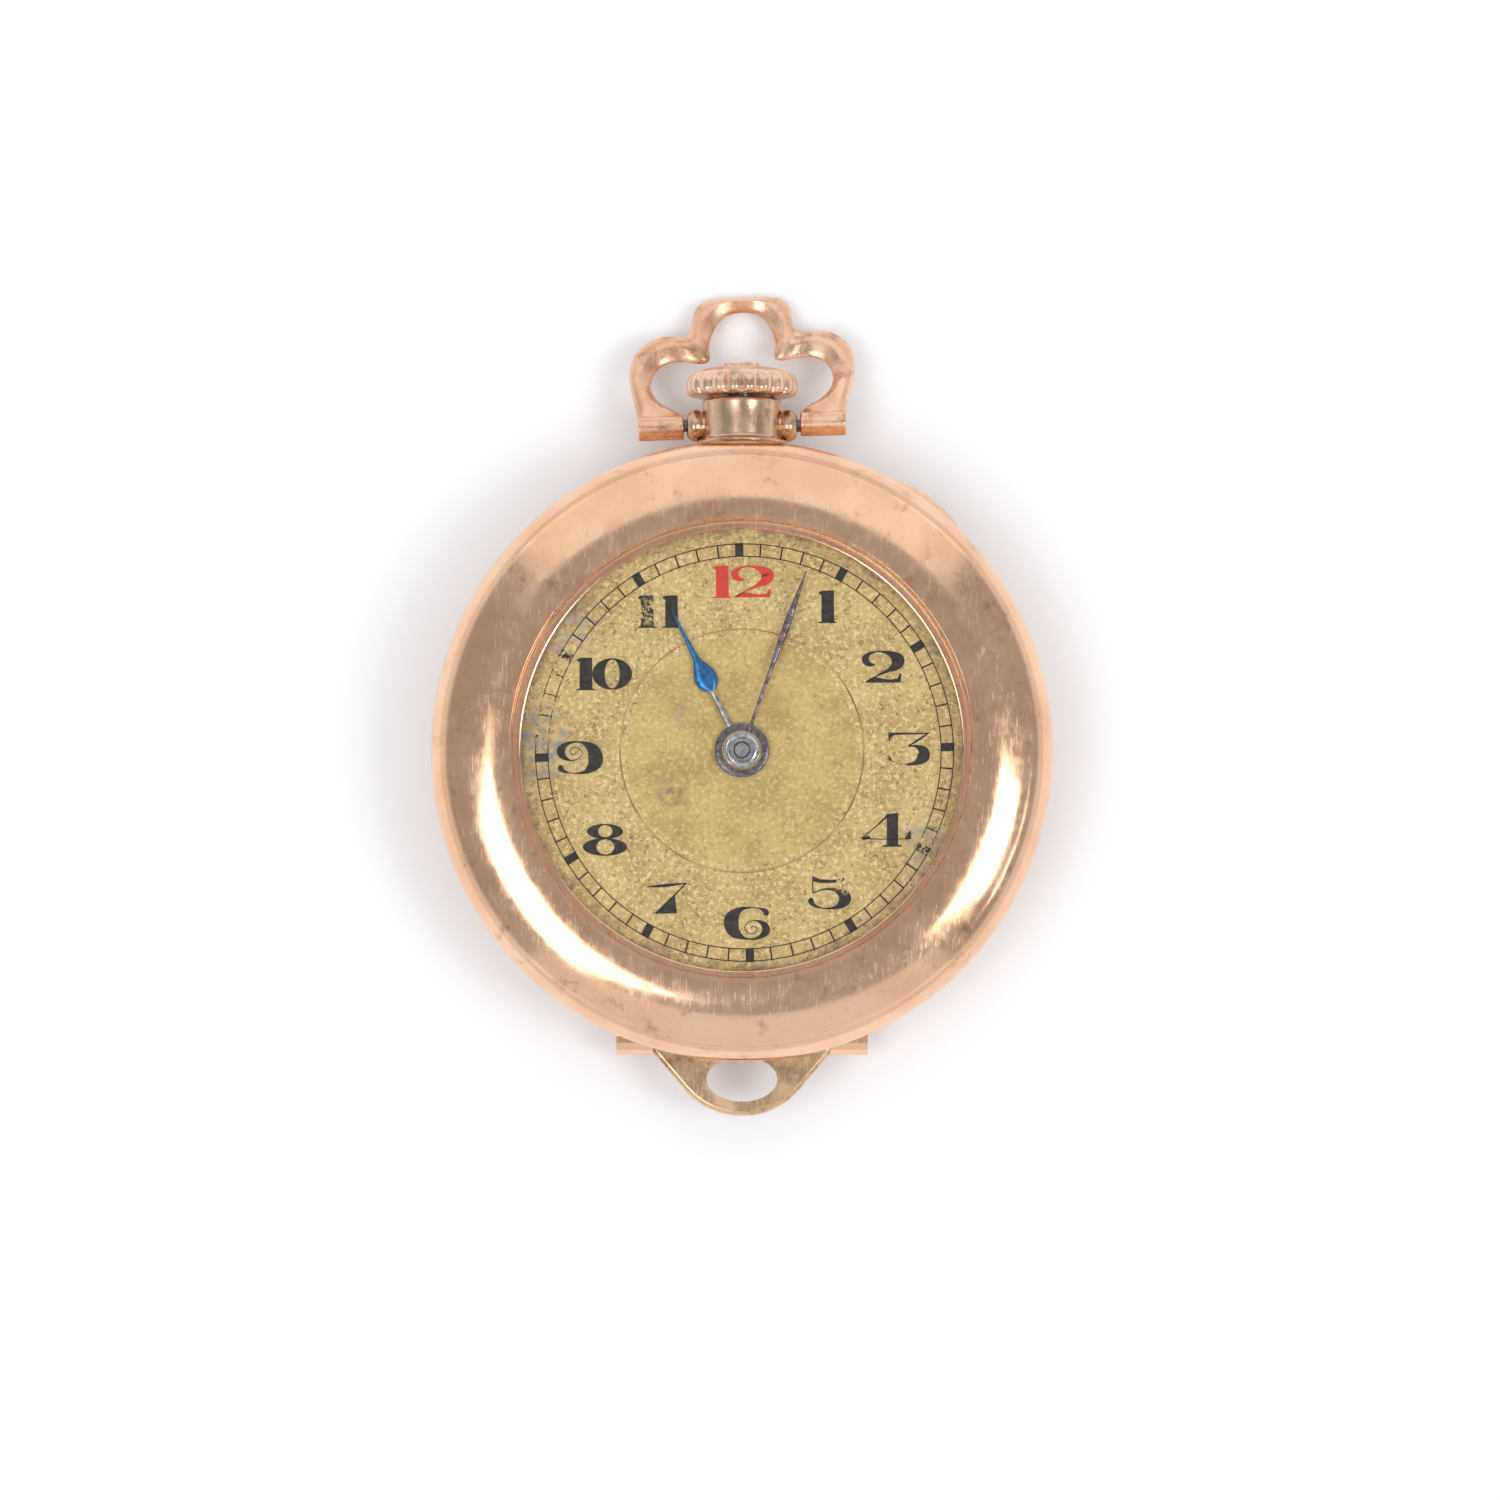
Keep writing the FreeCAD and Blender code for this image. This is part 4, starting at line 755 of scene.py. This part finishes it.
def blade(name, stations, z0, material, clockwise):
    """A hand's arm, domed across, that points that many degrees clockwise from 12 o'clock."""
    rings = []
    for y, half, height in smooth_path(stations, 6):
        half = max(half, BLADE_TIP)
        ring = []
        for k in range(BLADE_ROWS):
            u = 2 * k / (BLADE_ROWS - 1) - 1
            dome = BLADE_EDGE + (1 - BLADE_EDGE) * math.sqrt(max(0.0, 1 - u * u))
            ring.append((half * u, y, z0 + height * dome))
        rings.append(ring + [(half, y, z0), (-half, y, z0)])
    arm = loft(name, rings, material)
    arm.data.transform(Matrix.Rotation(-math.radians(clockwise), 4, "Z"))
    return arm


def hour_hand():
    """A pear-shaped blued bulb on a bare stem, with a dark steel hub."""
    arm = blade("hour_arm", HOUR_STATIONS, HOUR_Z, BLUED_HAND, HOUR_AT)
    place(arm, "hour", "blued_steel", "hour_hand")
    place(sharpen(lathe("hour_hub", HOUR_HUB, DARK_STEEL, segments=96, steps=4)), "hour", "steel")


def minute_hand():
    """A narrow tarnished leaf on a ringed hub."""
    arm = blade("minute_arm", MINUTE_STATIONS, MINUTE_Z, TARNISHED, MINUTE_AT)
    place(arm, "minute", "blued_steel", "minute_hand")
    place(sharpen(lathe("minute_hub", MINUTE_HUB, STEEL, segments=96, steps=5)), "minute", "steel")


# ---------------------------------------------------------------- dial print

def plate(outline, top, material):
    """A thin print on the dial from one closed outline."""
    n = len(outline)
    verts = [(x, y, PRINT_BOTTOM) for x, y in outline] + [(x, y, top) for x, y in outline]
    faces = [list(range(n))[::-1], list(range(n, 2 * n))]
    faces += [[i, (i + 1) % n, n + (i + 1) % n, n + i] for i in range(n)]
    return make_object("plate", verts, faces, material, smooth=False)


def strip(left, right, top, material, closed=False):
    """A thin print on the dial between two matching lines."""
    rings = [[(ax, ay, PRINT_BOTTOM), (bx, by, PRINT_BOTTOM), (bx, by, top), (ax, ay, top)]
             for (ax, ay), (bx, by) in zip(left, right)]
    return loft("strip", rings, material, smooth=False, closed=closed)


def ribbon(path):
    """Both edges of a pen stroke through (x, y, width) points, its width square to the path."""
    points = smooth_path(path, 6)
    left, right = [], []
    for i, (x, y, width) in enumerate(points):
        before, after = points[max(i - 1, 0)], points[min(i + 1, len(points) - 1)]
        dx, dy = after[0] - before[0], after[1] - before[1]
        length = math.hypot(dx, dy) or 1.0
        nx, ny = -dy / length * width / 2, dx / length * width / 2
        left.append((x + nx, y + ny))
        right.append((x - nx, y - ny))
    return left, right


def ellipse(cx, cy, rx, ry, steps=48):
    """Points round an ellipse."""
    angles = [TAU * i / steps for i in range(steps)]
    return [(cx + rx * math.cos(angle), cy + ry * math.sin(angle)) for angle in angles]


# Digits in mm about their own centre: pen strokes of (x, y, width) points, filled outlines, and ovals
# between an outer and an inner ellipse of (centre x, centre y, x radius, y radius). A nine is a turned six.
SIX = [
    ("pen", [(0.2, 0.71, 0.04), (-0.3, 0.64, 0.2), (-0.68, 0.3, 0.6), (-0.74, -0.05, 0.66),
             (-0.58, -0.42, 0.5), (-0.1, -0.69, 0.1), (0.45, -0.66, 0.14), (0.8, -0.38, 0.36),
             (0.74, -0.08, 0.3), (0.4, 0.12, 0.07), (0.02, 0.04, 0.04), (-0.14, -0.2, 0.04),
             (0.0, -0.42, 0.04), (0.3, -0.44, 0.04), (0.42, -0.24, 0.04), (0.24, -0.12, 0.04),
             (0.12, -0.24, 0.04)]),
    ("pen", [(0.1, 0.71, 0.04), (0.5, 0.68, 0.07), (0.82, 0.52, 0.24), (0.78, 0.36, 0.2)]),
]
DIGITS = {
    "0": [("oval", (0.0, 0.0, 0.9, 0.71), (0.0, 0.0, 0.34, 0.65))],
    "1": [("fill", [(-0.3, 0.7), (-0.26, 0.73), (0.29, 0.73), (0.31, -0.66), (0.44, -0.7), (0.44, -0.74),
                    (-0.42, -0.74), (-0.42, -0.7), (-0.27, -0.66), (-0.27, 0.52), (-0.38, 0.6),
                    (-0.4, 0.66)])],
    "2": [("pen", [(-0.38, 0.08, 0.05), (-0.68, 0.14, 0.24), (-0.82, 0.36, 0.34), (-0.62, 0.6, 0.14),
                   (-0.2, 0.69, 0.06), (0.28, 0.6, 0.24), (0.64, 0.34, 0.58), (0.56, 0.06, 0.46),
                   (0.22, -0.16, 0.18), (-0.25, -0.38, 0.08), (-0.8, -0.68, 0.05)]),
          ("fill", [(-0.88, -0.71), (-0.6, -0.52), (-0.36, -0.47), (0.28, -0.58), (0.62, -0.52),
                    (0.74, -0.3), (0.8, -0.3), (0.78, -0.71)])],
    "3": [("fill", [(-0.86, 0.72), (0.98, 0.72), (0.98, 0.66), (-0.6, 0.61), (-0.74, 0.5), (-0.78, 0.34),
                    (-0.84, 0.34)]),
          ("pen", [(0.92, 0.67, 0.07), (0.45, 0.36, 0.09), (0.05, 0.12, 0.06)]),
          ("pen", [(0.05, 0.1, 0.05), (0.4, 0.1, 0.14), (0.7, -0.1, 0.46), (0.7, -0.38, 0.56),
                   (0.34, -0.66, 0.2), (-0.3, -0.7, 0.06), (-0.74, -0.52, 0.12), (-0.86, -0.3, 0.16)])],
    "4": [("fill", [(0.03, 0.7), (0.54, 0.76), (0.54, -0.68), (0.72, -0.72), (0.72, -0.77), (-0.18, -0.77),
                    (-0.18, -0.72), (0.03, -0.68)]),
          ("pen", [(0.1, 0.66, 0.12), (-0.4, 0.2, 0.06), (-1.06, -0.36, 0.05)]),
          ("pen", [(-1.12, -0.4, 0.05), (0.0, -0.43, 0.04), (1.0, -0.41, 0.05)]),
          ("fill", [(-1.14, -0.4), (-0.8, -0.26), (-0.66, -0.4), (-1.0, -0.48)]),
          ("fill", [(0.82, -0.4), (1.1, 0.0), (1.14, -0.4), (0.96, -0.46)])],
    "5": [("fill", [(-0.8, 0.74), (-0.44, 0.6), (0.1, 0.56), (0.66, 0.68), (0.62, 0.52), (0.2, 0.43),
                    (-0.4, 0.42), (-0.8, 0.5)]),
          ("pen", [(-0.78, 0.55, 0.05), (-0.78, 0.25, 0.05), (-0.77, -0.02, 0.05)]),
          ("pen", [(-0.77, -0.04, 0.05), (-0.35, 0.13, 0.07), (0.2, 0.12, 0.16), (0.62, -0.12, 0.5),
                   (0.64, -0.38, 0.52), (0.3, -0.66, 0.2), (-0.25, -0.72, 0.06), (-0.68, -0.6, 0.14),
                   (-0.86, -0.4, 0.26), (-0.78, -0.28, 0.16)])],
    "6": SIX,
    "7": [("pen", [(-0.86, 0.5, 0.05), (-0.3, 0.53, 0.13), (0.2, 0.58, 0.13), (0.88, 0.66, 0.05)]),
          ("pen", [(0.86, 0.66, 0.07), (0.36, 0.14, 0.06), (-0.5, -0.68, 0.05)]),
          ("fill", [(0.36, 0.16), (0.44, -0.56), (0.46, -0.7), (-0.56, -0.73)])],
    "8": [("oval", (0.0, 0.37, 0.82, 0.34), (0.02, 0.38, 0.32, 0.27)),
          ("oval", (0.0, -0.33, 1.0, 0.4), (0.02, -0.33, 0.4, 0.34))],
    "9": [(kind, [(-p[0], -p[1], *p[2:]) for p in shape]) for kind, shape in SIX],
}
# Each numeral's centre, and the x offsets of the digits where there are two, mm
NUMERALS = {
    "12": (0.02, 7.63), "1": (3.86, 6.5), "2": (6.39, 3.78), "3": (7.46, 0.09), "4": (6.5, -3.57),
    "5": (3.97, -6.4), "6": (0.27, -7.79), "7": (-3.38, -6.64), "8": (-6.17, -4.02), "9": (-7.34, -0.32),
    "10": (-6.21, 3.46), "11": (-3.74, 6.28),
}
DIGIT_OFFSETS = {"12": (-0.92, 0.48), "10": (-0.84, 0.36), "11": (-0.55, 0.55)}


def digit_parts(digit, cx, cy, material):
    """The prints of one digit about a centre."""
    parts = []
    for kind, *shape in DIGITS[digit]:
        if kind == "fill":
            lines = shape
        elif kind == "pen":
            lines = ribbon(shape[0])
        else:
            lines = [ellipse(*oval) for oval in shape]
        moved = [[(x + cx, y + cy) for x, y in line] for line in lines]
        if kind == "fill":
            parts.append(plate(moved[0], NUMERAL_TOP, material))
        else:
            parts.append(strip(*moved, NUMERAL_TOP, material, closed=kind == "oval"))
    return parts


def numerals():
    """The twelve hours, with a red 12."""
    for hour, (cx, cy) in NUMERALS.items():
        material = RED_INK if hour == "12" else BLACK_INK
        parts = []
        for digit, offset in zip(hour, DIGIT_OFFSETS.get(hour, (0.0,))):
            parts += digit_parts(digit, cx + offset, cy, material)
        place(join(parts, "numeral_" + hour), "case", "dial_brass")


def circle_line(radius):
    """A thin flat ring of the minute track."""
    out, back = radius + TRACK_LINE / 2, radius - TRACK_LINE / 2
    outer, inner = (ellipse(*PRINT_CENTRE, r, r, steps=240) for r in (out, back))
    return strip(outer, inner, TRACK_TOP, BLACK_INK, closed=True)


def minute_track():
    """Two thin circles, a tick for each minute and a bar for each five."""
    parts = [circle_line(TRACK_INNER), circle_line(TRACK_OUTER)]
    for minute in range(60):
        half, over = (TICK_HALF, TICK_OVER) if minute % 5 else (BAR_HALF, BAR_OVER)
        angle = PRINT_TURN + TAU * minute / 60
        out = TRACK_OUTER + over
        corners = [(-half, TRACK_INNER), (half, TRACK_INNER), (half, out), (-half, out)]
        turned = [(PRINT_CENTRE[0] + x * math.cos(angle) - y * math.sin(angle),
                   PRINT_CENTRE[1] + x * math.sin(angle) + y * math.cos(angle)) for x, y in corners]
        parts.append(plate(turned, TRACK_TOP, BLACK_INK))
    place(join(parts, "minute_track"), "case", "dial_brass")


def centre_circle():
    """The fine raised line between the frosted and the plain gilding."""
    low, high = DIAL_TOP - 0.01, DIAL_TOP + 0.014
    profile = [(GILT_CIRCLE, low), (GILT_CIRCLE + 0.02, high), (GILT_CIRCLE + 0.07, high),
               (GILT_CIRCLE + 0.09, low)]
    place(lathe("dial_circle", profile, CIRCLE, segments=240), "case", "dial_brass")


# ---------------------------------------------------------------- studio

def floor():
    """The table that the watch lies on."""
    half = FLOOR_HALF / MM
    verts = [(-half, -half, 0), (half, -half, 0), (half, half, 0), (-half, half, 0)]
    make_object("floor", verts, [[0, 1, 2, 3]], floor_white(), smooth=False)


def softbox(name, azimuth, elevation, distance, width, height, radiance, only_gloss=False):
    """An area light that looks at the watch; azimuth runs clockwise from 12 o'clock, as the hours do."""
    light = bpy.data.lights.new(name, "AREA")
    light.shape = "RECTANGLE"
    light.size = width
    light.size_y = height
    light.energy = radiance * math.pi * width * height
    piece = bpy.data.objects.new(name, light)
    a, e = math.radians(azimuth), math.radians(elevation)
    towards = Vector((math.sin(a) * math.cos(e), math.cos(a) * math.cos(e), math.sin(e)))
    piece.location = towards * distance
    piece.rotation_euler = towards.to_track_quat("Z", "Y").to_euler()
    piece.visible_diffuse = not only_gloss
    bpy.context.scene.collection.objects.link(piece)
    return piece


def wall_panel(name, y, half_width, low, high, radiance):
    """An upright reflector that faces the watch and shows only in its polished metal."""
    panel = softbox(name, 0, 0, 1, 2 * half_width, high - low, radiance, only_gloss=True)
    panel.location = (0, y, (low + high) / 2)
    panel.rotation_euler = (math.copysign(math.pi / 2, -y), 0, 0)


def room():
    """Grey overhead and pale towards the horizon."""
    world = bpy.data.worlds.new("studio")
    bpy.context.scene.world = world
    world.use_nodes = True
    tree = world.node_tree
    direction = tree.nodes.new("ShaderNodeTexCoord")
    axes = tree.nodes.new("ShaderNodeSeparateXYZ")
    tree.links.new(direction.outputs["Generated"], axes.inputs[0])
    shade = tree.nodes.new("ShaderNodeMapRange")
    tree.links.new(axes.outputs["Z"], shade.inputs["Value"])
    for key, number in ROOM_SHADE.items():
        shade.inputs[key].default_value = number
    background = tree.nodes["Background"]
    background.inputs["Color"].default_value = ROOM_TINT
    tree.links.new(shade.outputs["Result"], background.inputs["Strength"])


def studio():
    """A pale room with an upright panel behind and before the watch and a softbox on each side."""
    room()
    for panel in WALL_PANELS:
        wall_panel(*panel)
    for box in SOFTBOXES:
        softbox(*box)
    softbox(*OVERHEAD_FILL).visible_glossy = False


def camera():
    """Nearly straight above, from the 6 o'clock side."""
    data = bpy.data.cameras.new("camera")
    data.lens = LENS
    data.sensor_width = SENSOR
    data.clip_start = 0.01
    data.clip_end = 50
    piece = bpy.data.objects.new("camera", data)
    distance = FRAME_WIDTH * MM * LENS / SENSOR
    towards = Vector((0, -math.cos(ELEVATION), math.sin(ELEVATION)))
    piece.location = Vector(AIM) * MM + towards * distance
    piece.rotation_euler = towards.to_track_quat("Z", "Y").to_euler()
    bpy.context.scene.collection.objects.link(piece)
    bpy.context.scene.camera = piece


camera()
dress_cad_nodes()
bezel()
neck()
bow()
crown()
hour_hand()
minute_hand()
numerals()
minute_track()
centre_circle()
floor()
studio()
bpy.context.scene.view_settings.view_transform = "Standard"
